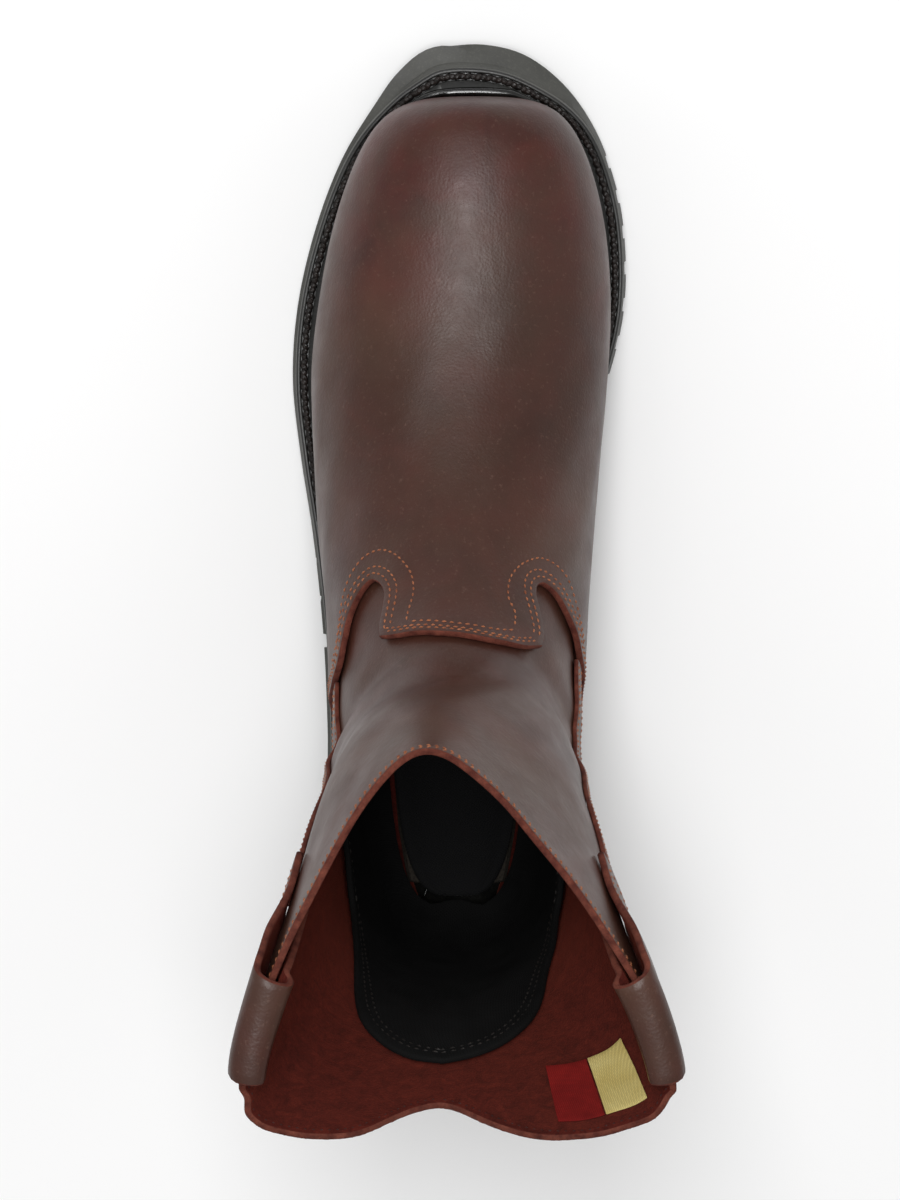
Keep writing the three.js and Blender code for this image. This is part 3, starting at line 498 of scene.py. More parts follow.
def skin(name, loop, spacing, outer, inner, materials, place=on_form, round_by=0.4, rough=0.0):
    """A closed plate of leather or cloth over a loop of [t, ring] points. Its outer face, inner
    face and cut edge take the three materials. outer and inner are depths or functions of (s, t)."""
    loop = np.asarray(loop, float)
    flat_loop = flattened(loop)
    following = np.roll(flat_loop, -1, axis=0)
    area = np.sum(flat_loop[:, 0] * following[:, 1] - following[:, 0] * flat_loop[:, 1])
    if area < 0:
        loop, flat_loop = loop[::-1], flat_loop[::-1]
    count = len(loop)
    within, flat_within = fill(loop, spacing)
    flat = np.vstack([flat_loop, flat_within])
    places = np.vstack([loop, within])
    edges = [(i, (i + 1) % count) for i in range(count)]
    made = delaunay_2d_cdt([Vector(p) for p in flat.tolist()], edges, [], 1, 1e-9)
    source = [ids[0] for ids in made[3]]
    faces = [[source[i] for i in f] for f in made[2]]
    t, s = places[:, 0], places[:, 1].copy()
    pole = s < 0.05
    s[pole] = 0.0
    depth = [np.broadcast_to(d(s, t) if callable(d) else float(d), s.shape) for d in (outer, inner)]
    outside, inside = place(s, t, depth[0]), place(s, t, depth[1])
    total = len(places)
    points = [outside, inside]
    marks = [0] * len(faces) + [1] * len(faces)
    all_faces = list(faces) + [[total + i for i in f][::-1] for f in faces]
    # the cut edge bulges a little, away from the plate
    ahead = np.roll(flat_loop, -1, axis=0) - np.roll(flat_loop, 1, axis=0)
    away = np.stack([ahead[:, 1], -ahead[:, 0]], -1)
    away /= np.maximum(np.linalg.norm(away, axis=1, keepdims=True), 1e-12)
    nudge = flat_loop + away * 1e-3
    nudged_s = np.interp(nudge[:, 1], TABLE_FLAT, TABLE_S)
    middle = (depth[0][:count] + depth[1][:count]) / 2
    out = unit(place(nudged_s, nudge[:, 0], middle) - place(s[:count], t[:count], middle))
    across = inside[:count] - outside[:count]
    random = np.random.default_rng(len(name) * 7 + count)
    rings = [np.arange(count)]
    first = 2 * total
    for share, bulge in CUT_EDGE:
        grain = random.normal(0, rough, count)[:, None]
        points.append(outside[:count] + across * share + out * (bulge * round_by + grain))
        rings.append(np.arange(count) + first)
        first += count
    rings.append(np.arange(count) + total)
    for i in range(count):
        j = (i + 1) % count
        if pole[i] and pole[j]:
            continue
        for a, b in zip(rings[:-1], rings[1:]):
            all_faces.append([a[i], b[i], b[j], a[j]])
            marks.append(2)
    return make_object(name, np.vstack(points), all_faces, materials, marks)


def lengths_along(path):
    return np.concatenate([[0], np.cumsum(np.linalg.norm(np.diff(path, axis=0), axis=1))])


def at_lengths(path, lengths, at):
    """Points of a line at the given lengths along it."""
    return np.stack([np.interp(at, lengths, column) for column in path.T], -1)


def even_path(path, pitch, start=0.5):
    """Places and directions at equal steps along a line of points."""
    lengths = lengths_along(path)
    count = max(1, int(lengths[-1] / pitch))
    at = (np.arange(count) + start) * lengths[-1] / count
    ahead = at_lengths(path, lengths, at + 0.3) - at_lengths(path, lengths, at - 0.3)
    return at_lengths(path, lengths, at), unit(ahead), at, lengths


# A stitch's cross sections, as (share of its half length, share of its thickness, lift in heights).
STITCH_SHAPE = [
    (-1.0, 0.15, -1.0), (-0.72, 0.75, -0.25), (0.0, 1.0, 0.35), (0.72, 0.75, -0.25), (1.0, 0.15, -1.0),
]
STITCH_SIDES = 6
STITCH_VARIES = 0.05


def stitches(path, normals, pitch, length, width, height, lean=0.0, sink=0.15, start=0.5):
    """Points and faces of a row of stitches, each a small bent spindle lying on the surface."""
    centres, along, at, lengths = even_path(path, pitch, start)
    up = unit(at_lengths(normals, lengths, at))
    side = unit(np.cross(up, along))
    along = unit(np.cross(side, up))
    turned = unit(along * math.cos(lean) + side * math.sin(lean))
    beside = unit(np.cross(up, turned))
    first_cap = list(range(STITCH_SIDES))[::-1]
    last_cap = [(len(STITCH_SHAPE) - 1) * STITCH_SIDES + k for k in range(STITCH_SIDES)]
    faces = ring_faces(len(STITCH_SHAPE), STITCH_SIDES) + [first_cap, last_cap]
    random = np.random.default_rng(len(centres))
    spindles = []
    for c, d, b, n in zip(centres, turned, beside, up):
        size = 1 + random.normal(0, STITCH_VARIES, 3)
        points = []
        for u, r, lift in STITCH_SHAPE:
            middle = c + d * (u * length / 2 * size[0]) + n * (height * lift - sink)
            for k in range(STITCH_SIDES):
                angle = 2 * math.pi * k / STITCH_SIDES
                across = b * (math.cos(angle) * width / 2 * r * size[1])
                points.append(middle + (across + n * (math.sin(angle) * height * r * size[2])))
        spindles.append((points, faces))
    return joined(spindles)


def stitch_piece(name, rows, material):
    """One piece from several rows of stitches."""
    points, faces = joined(rows)
    return make_object(name, points, faces, [material])


def surface_row(ts, depth, facing=1, **how):
    """A row of stitches along a line of [t, ring] points, at a depth or depths over the form."""
    t, s = np.asarray(ts, float).T
    path = on_form(s, t, np.broadcast_to(depth, s.shape))
    return stitches(path, form_normal(s, t) * facing, **how)


def beside(ts, distance):
    """A line of [t, ring] points moved sideways on the surface by millimetres, to its left."""
    ts = np.asarray(ts, float)
    t, s = ts[:, 0], ts[:, 1]
    step_t, step_s = 1e-3, 1e-2
    by_t = (form(s, t + step_t) - form(s, t - step_t)) / (2 * step_t)
    by_s = (form(s + step_s, t) - form(s - step_s, t)) / (2 * step_s)
    here = form(s, t)
    ahead = unit(np.gradient(here, axis=0))
    left = np.cross(form_normal(s, t), ahead)
    m = np.stack([by_t, by_s], -1)
    gram = np.einsum("nij,nik->njk", m, m)
    rhs = np.einsum("nij,ni->nj", m, left * distance)
    moved = ts + np.linalg.solve(gram, rhs[..., None])[..., 0]
    # the moved line keeps clear of the first one, so its loops at corners are left out
    there = form(moved[:, 1], moved[:, 0])
    apart = np.linalg.norm(there[:, None] - here[None], axis=-1).min(1)
    return moved[apart > 0.93 * abs(distance)]


# ---------------------------------------------------------------- materials


class Look:
    """A procedural material: colour, roughness and bump from nodes in the boot's own space."""

    def __init__(self, name, **constants):
        self.material = bpy.data.materials.new(name)
        self.material.use_nodes = True
        self.tree = self.material.node_tree
        self.shader = self.tree.nodes["Principled BSDF"]
        for socket, value in constants.items():
            self.shader.inputs[socket.replace("_", " ")].default_value = value
        self.place = self.tree.nodes.new("ShaderNodeTexCoord").outputs["Object"]
        self.normal = None

    def link(self, source, target):
        self.tree.links.new(source, target)

    def stretched(self, stretch, turn=(0, 0, 0)):
        node = self.tree.nodes.new("ShaderNodeMapping")
        node.inputs["Scale"].default_value = stretch
        node.inputs["Rotation"].default_value = turn
        self.link(self.place, node.inputs["Vector"])
        return node.outputs["Vector"]

    def noise(self, scale, detail=3.0, rough=0.5, distortion=0.0, where=None):
        node = self.tree.nodes.new("ShaderNodeTexNoise")
        self.link(where or self.place, node.inputs["Vector"])
        node.inputs["Scale"].default_value = scale
        node.inputs["Detail"].default_value = detail
        node.inputs["Roughness"].default_value = rough
        node.inputs["Distortion"].default_value = distortion
        return node.outputs["Fac"]

    def cells(self, scale, feature="F1", where=None):
        node = self.tree.nodes.new("ShaderNodeTexVoronoi")
        node.feature = feature
        self.link(where or self.place, node.inputs["Vector"])
        node.inputs["Scale"].default_value = scale
        return node.outputs["Distance"]

    def waves(self, scale, direction="X", distortion=0.0, where=None):
        node = self.tree.nodes.new("ShaderNodeTexWave")
        node.bands_direction = direction
        self.link(where or self.place, node.inputs["Vector"])
        node.inputs["Scale"].default_value = scale
        node.inputs["Distortion"].default_value = distortion
        return node.outputs["Fac"]

    def ramp(self, factor, *stops):
        node = self.tree.nodes.new("ShaderNodeValToRGB")
        elements = node.color_ramp.elements
        while len(elements) < len(stops):
            elements.new(0.5)
        for element, (at, colour) in zip(elements, stops):
            element.position = at
            shown = tuple(colour) if hasattr(colour, "__len__") else (colour,) * 3
            element.color = shown + (1,)
        self.link(factor, node.inputs["Fac"])
        return node.outputs["Color"]

    def mix(self, factor, a, b, blend="MIX"):
        node = self.tree.nodes.new("ShaderNodeMix")
        node.data_type = "RGBA"
        node.blend_type = blend
        for socket, value in ((0, factor), (6, a), (7, b)):
            if isinstance(value, bpy.types.NodeSocket):
                self.link(value, node.inputs[socket])
            elif hasattr(value, "__len__"):
                node.inputs[socket].default_value = tuple(value) + (1,)
            else:
                node.inputs[socket].default_value = value
        return node.outputs[2]

    def math(self, operation, a, b):
        node = self.tree.nodes.new("ShaderNodeMath")
        node.operation = operation
        for socket, value in ((0, a), (1, b)):
            if isinstance(value, bpy.types.NodeSocket):
                self.link(value, node.inputs[socket])
            else:
                node.inputs[socket].default_value = value
        return node.outputs[0]

    def along(self, axis):
        node = self.tree.nodes.new("ShaderNodeSeparateXYZ")
        self.link(self.place, node.inputs[0])
        return node.outputs[axis]

    def colour(self, socket):
        self.link(socket, self.shader.inputs["Base Color"])

    def roughness(self, factor, low, high):
        self.link(self.ramp(factor, (0.25, low), (0.75, high)), self.shader.inputs["Roughness"])

    def bumps(self, *layers):
        """Each layer is (height, strength, distance in metres)."""
        for height, strength, distance in layers:
            node = self.tree.nodes.new("ShaderNodeBump")
            node.inputs["Strength"].default_value = strength
            node.inputs["Distance"].default_value = distance
            self.link(height, node.inputs["Height"])
            if self.normal:
                self.link(self.normal, node.inputs["Normal"])
            self.normal = node.outputs["Normal"]
        self.link(self.normal, self.shader.inputs["Normal"])
        return self.material


def srgb(code):
    parts = [int(code[i:i + 2], 16) / 255 for i in (0, 2, 4)]
    return tuple(c / 12.92 if c <= 0.04045 else ((c + 0.055) / 1.055) ** 2.4 for c in parts)


def full_grain():
    """Oiled oxblood leather: dark brown with red patches, which are stronger towards the toe."""
    look = Look("oiled_leather", Specular_IOR_Level=0.36)
    clouds = look.noise(16, 5, 0.55, 0.4)
    patches = look.noise(42, 3, 0.5, 0.8)
    brown = look.ramp(clouds, (0.3, srgb("342117")), (0.5, srgb("402a1f")), (0.72, srgb("4d3527")))
    red = look.ramp(patches, (0.3, srgb("381513")), (0.7, srgb("52201b")))
    at_toe = look.tree.nodes.new("ShaderNodeMapRange")
    at_toe.inputs["From Min"].default_value = -0.155
    at_toe.inputs["From Max"].default_value = -0.06
    at_toe.inputs["To Min"].default_value = 0.8
    at_toe.inputs["To Max"].default_value = 0.3
    look.link(look.along(1), at_toe.inputs["Value"])
    uneven = look.ramp(look.noise(28, 4, 0.6), (0.32, 0.25), (0.66, 1.5))
    share = look.math("MULTIPLY", at_toe.outputs[0], uneven)
    base = look.mix(share, brown, red)
    dust = look.ramp(look.noise(700, 2, 0.7), (0.6, 0.0), (0.85, 0.5))
    worn = look.mix(dust, base, srgb("6a4f44"))
    pores = look.ramp(look.cells(1500), (0.0, 0.55), (0.22, 1.0))
    look.colour(look.mix(0.5, worn, pores, "MULTIPLY"))
    look.roughness(look.noise(90, 4, 0.6), 0.36, 0.5)
    pull = look.noise(260, 4, 0.6, 1.5, look.stretched((1, 0.35, 1)))
    return look.bumps(
        (look.noise(55, 3, 0.5), 0.25, 0.0012),
        (pull, 0.12, 0.0006),
        (look.cells(1250, "SMOOTH_F1"), 0.16, 0.00035),
        (look.noise(3200, 2, 0.6), 0.12, 0.0001),
    )


def suede():
    look = Look("suede_side", Specular_IOR_Level=0.15, Sheen_Weight=0.35, Sheen_Roughness=0.5)
    look.shader.inputs["Sheen Tint"].default_value = srgb("b0503c") + (1,)
    nap = look.noise(210, 5, 0.7, 1.0)
    fibres = look.noise(1500, 3, 0.7)
    base = look.ramp(nap, (0.3, srgb("340f0b")), (0.5, srgb("4a1812")), (0.7, srgb("5c2118")))
    look.colour(look.mix(0.7, base, look.ramp(fibres, (0.3, 0.45), (0.65, 1.0)), "MULTIPLY"))
    look.roughness(nap, 0.9, 1.0)
    return look.bumps((nap, 0.3, 0.0008), (fibres, 0.7, 0.0005), (look.noise(4000, 1, 0.5), 0.4, 0.0002))


def raw_edge():
    look = Look("raw_leather_edge", Specular_IOR_Level=0.2)
    fibres = look.noise(1800, 3, 0.7)
    base = look.ramp(look.noise(260, 4, 0.6), (0.3, srgb("4a1f18")), (0.7, srgb("774032")))
    look.colour(look.mix(0.6, base, look.ramp(fibres, (0.3, 0.4), (0.7, 1.0)), "MULTIPLY"))
    look.roughness(fibres, 0.75, 0.95)
    return look.bumps((fibres, 0.6, 0.0004))


def woven(name, dark, light, scale=520.0, **constants):
    """A plain weave from crossed bands."""
    look = Look(name, Specular_IOR_Level=0.2, **constants)
    turned = look.stretched((1, 1, 1), (0.3, 0.2, 0.6))
    over, under = [look.waves(scale, direction, 0.6, turned) for direction in "XY"]
    weave = look.math("MULTIPLY", over, under)
    soil = look.noise(70, 4, 0.6)
    base = look.ramp(soil, (0.3, dark), (0.7, light))
    look.colour(look.mix(0.55, base, look.ramp(weave, (0.0, 0.45), (0.5, 1.0)), "MULTIPLY"))
    look.roughness(soil, 0.82, 0.98)
    return look.bumps((weave, 0.5, 0.0003), (look.noise(1900, 2, 0.6), 0.3, 0.0002))


def rubber(name, dark, light, low, high, speckle=0.35, **constants):
    look = Look(name, **constants)
    base = look.ramp(look.noise(60, 4, 0.6), (0.3, dark), (0.7, light))
    dust = look.ramp(look.noise(950, 3, 0.75), (0.52, 0.0), (0.8, speckle))
    look.colour(look.mix(dust, base, srgb("74726a")))
    look.roughness(look.noise(240, 4, 0.7), low, high)
    return look.bumps((look.noise(120, 3, 0.6), 0.12, 0.0006), (look.noise(1700, 3, 0.7), 0.3, 0.00018))


def thread(name, dark, light, twist=560.0, gloss=0.5):
    look = Look(name, Specular_IOR_Level=0.35)
    strands = look.waves(twist, "DIAGONAL", 1.5)
    base = look.ramp(look.noise(420, 3, 0.7), (0.3, dark), (0.7, light))
    look.colour(look.mix(0.5, base, look.ramp(strands, (0.1, 0.5), (0.6, 1.0)), "MULTIPLY"))
    look.roughness(look.noise(700, 2, 0.5), gloss, gloss + 0.2)
    return look.bumps((strands, 0.6, 0.00025))


def steel():
    look = Look("zinc_steel", Metallic=1.0)
    look.colour(look.ramp(look.cells(160), (0.1, srgb("a4a8ac")), (0.6, srgb("c4c8ca"))))
    brushed = look.noise(500, 3, 0.6, 0, look.stretched((1, 0.05, 1)))
    look.roughness(brushed, 0.28, 0.42)
    return look.bumps((brushed, 0.15, 0.0001))


def pressed(name, dark, light, scale, grainy=0.5):
    """Cork, felt or fibre board: a pressed mass of grains or fibres."""
    look = Look(name, Specular_IOR_Level=0.2)
    grains = look.cells(scale)
    base = look.ramp(grains, (0.1, dark), (0.6, light))
    shade = look.ramp(look.noise(scale * 2, 3, 0.7), (0.3, 0.5), (0.7, 1.0))
    look.colour(look.mix(0.35, base, shade, "MULTIPLY"))
    look.roughness(look.noise(scale, 3, 0.6), 0.82, 0.98)
    return look.bumps((grains, grainy, 0.0005), (look.noise(scale * 3, 3, 0.7), 0.4, 0.0003))


GRAIN = full_grain()
SUEDE = suede()
RAW = raw_edge()
COPPER_THREAD = thread("copper_thread", srgb("7a4026"), srgb("b4714a"))
DARK_THREAD = thread("dark_thread", srgb("2a0d0a"), srgb("44160f"))
BLACK_THREAD = thread("black_thread", srgb("141210"), srgb("2c2724"))
WELT_THREAD = thread("welt_thread", srgb("0d0b0a"), srgb("2b2320"), 380.0, 0.3)
LINING_CLOTH = woven("black_lining", srgb("070707"), srgb("121212"))
FOOTBED_CLOTH = woven("footbed_cloth", srgb("0e0e0f"), srgb("181819"), 420.0)
TREAD = rubber("tread_rubber", srgb("3b3b38"), srgb("4a4a46"), 0.5, 0.66, 0.3)
RIM = rubber("midsole_rubber", srgb("4e4e4a"), srgb("5c5c57"), 0.42, 0.58, 0.25)
WELT = rubber("welt_rubber", srgb("161615"), srgb("232321"), 0.3, 0.44, 0.08)
BEAD = rubber(
    "polished_bead", srgb("0c0c0b"), srgb("151513"), 0.16, 0.24, 0.02, Coat_Weight=0.5, Coat_Roughness=0.12,
)
STEEL = steel()
CORK = pressed("cork", srgb("7d5530"), srgb("b4854f"), 420.0)
FELT = pressed("felt", srgb("6f675b"), srgb("9a9184"), 900.0, 0.3)
BOARD_LOOK = pressed("insole_board", srgb("211d19"), srgb("35302a"), 900.0, 0.2)
FIBRE = pressed("fibre_board", srgb("7b6b50"), srgb("a08d6b"), 800.0, 0.2)
CREAM = woven("cream_label", srgb("c4ae64"), srgb("dccb86"), 760.0)
RED = woven("red_label", srgb("701110"), srgb("8c1a17"), 760.0)
UPPER_SET = [GRAIN, SUEDE, RAW]

# ---------------------------------------------------------------- the upper

SLIT = 0.004
POLE = 0.03


def side_edge(s, share):
    return np.minimum(0.5 - share * seat_half(s), 0.5 - SLIT)


def rings_between(low, high, count):
    """Ring numbers at steps that are even on the surface."""
    ends = np.interp([low, high], TABLE_S, TABLE_FLAT)
    return np.interp(np.linspace(ends[0], ends[1], count), TABLE_FLAT, TABLE_S)


def foot_loop(low, high, share, top=None, count=200):
    """The loop of a layer over the foot, open under the sole."""
    s = rings_between(low, high, count)
    right = np.stack([side_edge(s, share), s], -1)
    left = right[::-1] * [-1, 1]
    if top is None:
        t = np.linspace(right[-1, 0], left[0, 0], 120)[1:-1]
        top = np.stack([t, np.full_like(t, high)], -1)
    t = np.linspace(left[-1, 0], right[0, 0], 30)[1:-1]
    front = np.stack([t, np.full_like(t, low)], -1)
    return np.vstack([right, top, left, front])


def piece(thing, slot, *nodes, body="boot"):
    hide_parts(*nodes)
    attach(thing, body)


def seam(name, rows, material=COPPER_THREAD):
    thing = stitch_piece(name, rows, material)
    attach(thing, "boot")


vamp_outer_side = line(EDGE_OUTER_SIDE)
vamp_tongue = line(EDGE_TONGUE)
vamp_inner_side = line(EDGE_INNER_SIDE)
vamp_top = np.vstack([vamp_outer_side[3:], vamp_tongue[1:], vamp_inner_side[1:-3]])
vamp_loop = foot_loop(POLE, EDGE_OUTER_SIDE[0][1], MARGIN, vamp_top, 260)
vamp = skin("vamp_leather", vamp_loop, 2.1, COVER_OUT, GAP, UPPER_SET, rough=0.05)
piece(vamp, "upper_leather", "vamp")

felt_loop = foot_loop(4.3, 8.1, 1.04)
piece(skin("toe_interlining", felt_loop, 6, -0.6, -2.1, [FELT] * 3), "felt", "vamp_interlining")
lining_set = [LINING_CLOTH] * 3
lining_loop = foot_loop(0.5, 10.45, 1.0)
foot_lining = skin("foot_lining", lining_loop, 3.5, LINING_OUT, LINING_OUT - LINING, lining_set)
piece(foot_lining, "lining_cloth", "vamp_lining")


def covered(upto):
    """The shaft's outer face, tucked in where another layer covers it."""
    return lambda s, t: -TUCK * (1 - smooth(s, upto - 0.5, upto + 0.5))


def under(surface, thickness):
    return lambda s, t: surface(s, t) - thickness


def level(ring):
    return lambda t: np.full_like(t, ring)


def round_loop(t_from, t_to, bottom, top, count=240):
    """The loop of a layer between two turn shares, with its bottom and top as functions of t."""
    t = np.linspace(t_from, t_to, count)
    low = np.stack([t, bottom(t)], -1)
    high = np.stack([t, top(t)], -1)[::-1]
    ends = []
    for a, b in ((low[-1], high[0]), (high[-1], low[0])):
        s = rings_between(a[1], b[1], 120)[1:-1]
        ends.append(np.stack([np.full_like(s, a[0]), s], -1))
    return np.vstack([low, ends[0], high, ends[1]])


front_surface = covered(11.3)
back_surface = covered(14.4)
front_loop = round_loop(-SEAM_SIDE, SEAM_SIDE, level(8.4), collar_ring)
back_loop = round_loop(
    SEAM_SIDE + SEAM_GAP, 1 - SEAM_SIDE - SEAM_GAP,
    lambda t: np.maximum(10.0, seat_end(t, 1.2)), collar_ring, 320,
)
for word, loop, spacing, surface in (
    ("front", front_loop, 2.3, front_surface), ("back", back_loop, 2.4, back_surface),
):
    inner = under(surface, LEATHER)
    shaft = skin(f"{word}_shaft_leather", loop, spacing, surface, inner, UPPER_SET, rough=0.07)
    piece(shaft, "upper_leather", f"{word}_shaft")


def counter_top(t):
    return 14.3 - 3 * ((0.5 - t) / 0.2) ** 2


counter_loop = round_loop(
    0.307, 0.693, lambda t: np.maximum(10.95, seat_end(t, MARGIN)), counter_top, 200,
)
counter = skin("heel_counter_leather", counter_loop, 2.3, COVER_OUT, GAP, UPPER_SET, rough=0.05)
piece(counter, "upper_leather", "counter_cover")


def lining_outer(s, t):
    low = 1 - smooth(s, 14.1, 15.2)
    behind = smooth(np.minimum(t, 1 - t), 0.24, 0.3)
    return LINING_OUT - low * behind * (1.1 + GAP)


def lining_inner(s, t):
    rolled = bump(s - lining_top(t) + 0.05, 0.09) * 0.9
    return lining_outer(s, t) - LINING - rolled


def lining_top(t):
    shifts = np.linspace(-0.03, 0.03, 13)
    return np.mean([np.interp(from_front(t) + d, LINING_TOP_T, LINING_TOP_S) for d in shifts], axis=0)


def lining_bottom(t):
    """The lower edge, which dips behind the end of the footbed."""
    return np.maximum(10.5, seat_end(t, 1.04) - 0.25 * bump(from_front(t) - 0.5, 0.03))


heel_lining_loop = round_loop(SLIT, 1 - SLIT, lining_bottom, lining_top, 360)
heel_lining = skin(
    "heel_lining_cloth", heel_lining_loop, 2.8, lining_outer, lining_inner, lining_set, round_by=0.6,
)
piece(heel_lining, "lining_cloth", "heel_lining")

STRIP_HALF = 0.011
STRIP_TOP = 16.6
STRIP_OUT = GAP + 1.2

for word, sign, low in (("outer", 1, 11.16), ("inner", -1, 10.74)):
    middle = sign * SEAM_SIDE
    loop = round_loop(middle - STRIP_HALF, middle + STRIP_HALF, level(low), level(STRIP_TOP), 8)
    strip = skin(f"side_strip_{word}", loop, 1.9, STRIP_OUT, GAP - 0.2, UPPER_SET)
    piece(strip, "upper_leather", f"seam_strip_{word}_side")

# ---------------------------------------------------------------- pull tabs

TAB_HALF = 0.03
TAB_SIDE = 0.208
# The loop's middle line at the tab's front edge as (out, up, share of the lean): further back
# the whole loop leans in over the boot.
LOOP_LINE = [
    (5.8, -4, 1), (5.9, 0, 1), (5.7, 4.2, 1), (4, 7.1, 1),
    (0, 8, 1), (-4.3, 6.5, 0.75), (-5, 3.6, 0.35), (-3.1, 0.9, 0),
]
LEAN = 3.0
STAND = 3.2
TAB_FLAT = np.linspace(-0.97, 0.97, 13)
# The tab's stitched box: how far out across the strip, and from which to which step along it.
BOX_OUT = 0.86
BOX_LOW, BOX_HIGH = 3, 15


def by_collar(t, out, up):
    """A point near the collar: out from the middle of the leather, up from its edge."""
    s = collar_ring(t)
    normal = form_normal(s, t)
    rise = form(s + 0.01, t) - form(s - 0.01, t)
    rise = unit(rise - normal * (rise * normal).sum(-1, keepdims=True))
    return on_form(s, t, np.full(np.shape(s), -LEATHER / 2)) + normal * out + rise * up


def tab_line(t, count=72):
    """The strip's middle line at one place of its width, from the outer leg over the collar."""
    points = []
    lean = LEAN * (from_front(t) - TAB_SIDE + TAB_HALF) / (2 * TAB_HALF)
    for below in (1.7, 1.5, 1.3, 1.1, 0.9, 0.7, 0.5):
        stand = 2 * GAP + (STAND - lean) * (1 - smooth(below, 0.35, 1.3))
        points.append(on_form(collar_ring(t) - below, t, stand + TAB_STRIP / 2))
    points += [by_collar(t, out - share * lean, up) for out, up, share in LOOP_LINE]
    for below in (0.16, 0.4, 0.7, 1.0, 1.35):
        points.append(on_form(collar_ring(t) - below, t, -LEATHER - 4 * GAP - TAB_STRIP / 2))
    fine = curve_through(np.array(points), 0.8)
    lengths = lengths_along(fine)
    return at_lengths(fine, lengths, np.linspace(0, lengths[-1], count))


def pull_tab(word, sign):
    middle = sign * TAB_SIDE
    half = TAB_STRIP / 2
    side = [(1.0, 0.6 * half), (1.01, 0), (1.0, -0.6 * half)]
    section = [(u, half) for u in TAB_FLAT] + side
    section += [(-u, -h) for u, h in section]

    def line_at(u):
        return tab_line(np.float64(middle + u * TAB_HALF))

    lines = np.array([line_at(u) for u, _ in section])
    across = np.array([line_at(u + 0.05) - line_at(u - 0.05) for u, _ in section])
    along = np.gradient(lines, axis=1)
    normal = unit(np.cross(across, along))
    outward = form_normal(collar_ring(middle) - 1.0, middle)
    centre_step = len(TAB_FLAT) // 2
    if (normal[centre_step, 2] * outward).sum() < 0:
        normal = -normal
    heights = np.array([h * (1 + 0.05 * abs(u)) for u, h in section])
    points = lines + normal * heights[:, None, None]
    around, long = points.shape[:2]
    faces = tube_faces(around, long)
    faces.append([i * long for i in range(around)][::-1])
    faces.append([i * long + long - 1 for i in range(around)])
    # the outer face, a side, the inner face and the other side, then the two ends
    flat_faces, side_faces = len(TAB_FLAT) - 1, len(side) + 1
    kinds = [0] * flat_faces + [2] * side_faces + [1] * flat_faces + [2] * side_faces
    marks = np.append(np.repeat(kinds, long - 1), [2, 2])
    tab = make_object(f"pull_tab_{word}", points.reshape(-1, 3), faces, UPPER_SET, marks)
    legs = [f"pull_tab_leg_{where}_{word}_side" for where in ("outside", "inside")]
    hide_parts(*legs, f"pull_loop_{word}_side")
    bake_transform(tab)
    # a box of stitches on the outer leg
    rows = []
    for u0, u1, k0, k1 in (
        (-BOX_OUT, BOX_OUT, BOX_LOW, BOX_LOW), (-BOX_OUT, -BOX_OUT, BOX_LOW, BOX_HIGH),
        (BOX_OUT, BOX_OUT, BOX_LOW, BOX_HIGH), (-BOX_OUT, BOX_OUT, BOX_HIGH, BOX_HIGH),
    ):
        steps = np.linspace(k0, k1, 14)
        path = np.array([
            at_lengths(line_at(u), np.arange(long), step) for u, step in zip(np.linspace(u0, u1, 14), steps)
        ])
        facing = normal[centre_step, steps.astype(int)]
        rows.append(stitches(path + facing * half, facing, pitch=2.5, length=1.9, width=0.75, height=0.42))
    seam(f"tab_stitching_{word}", rows)


for word, sign in (("outer", 1), ("inner", -1)):
    pull_tab(word, sign)

# ---------------------------------------------------------------- labels inside the collar


def below_collar(rings):
    return lambda t: collar_ring(t) - rings


def label_face(s, t):
    """The label's face, which curls away from the leather at its lower end."""
    return -LEATHER - 0.25 - 1.1 * smooth(collar_ring(t) - s, 0.55, 1.05)


def label(name, t_from, t_to, material, node, slot):
    loop = round_loop(t_from, t_to, below_collar(1.02), below_collar(0.2), 20)
    thing = skin(name, loop, 1.8, label_face, under(label_face, 0.35), [material] * 3, round_by=0.1)
    piece(thing, slot, node)


label("woven_label_cream", -0.375, -0.325, CREAM, "label_size", "cream_label")
label("woven_label_red", -0.412, -0.377, RED, "label_care", "red_label")

# ---------------------------------------------------------------- seams


LOCK = dict(pitch=2.4, length=1.9, width=0.7, height=0.4)
PROUD = 0.02
OVER = COVER_OUT + PROUD

vamp_rows = []
for edge in (vamp_outer_side, vamp_inner_side):
    for distance, start in ((2.1, 0.5), (4.4, 0.25)):
        vamp_rows.append(surface_row(beside(edge[2:-1], distance), OVER, lean=0.12, start=start, **LOCK))
for distance, start in ((1.5, 0.5), (2.6, 0.0)):
    vamp_rows.append(surface_row(beside(vamp_tongue[2:-2], distance), OVER, lean=0.12, start=start, **LOCK))
for row in (ROW_OUTER_HOOK, ROW_TONGUE, ROW_INNER_HOOK):
    vamp_rows.append(surface_row(line(row), OVER, lean=0.12, **LOCK))
seam("vamp_stitching", vamp_rows)

turn_line = np.linspace(-0.5, 0.5, 500)
collar_line = np.stack([turn_line, collar_ring(turn_line)], -1)
zigzag = dict(pitch=2.4, length=1.9, width=0.65, height=0.36)
collar_rows = [
    surface_row(beside(collar_line, distance), PROUD, lean=lean, start=start, **zigzag)
    for distance, start, lean in ((-1.2, 0.5, 0.55), (-2.5, 0.0, -0.55))
]
seam("collar_stitching", collar_rows)
inside_row = surface_row(
    beside(collar_line, -1.9), -LEATHER - PROUD, facing=-1, pitch=2.4, length=1.3, width=0.6, height=0.3,
)
seam("collar_stitching_inside", [inside_row], DARK_THREAD)

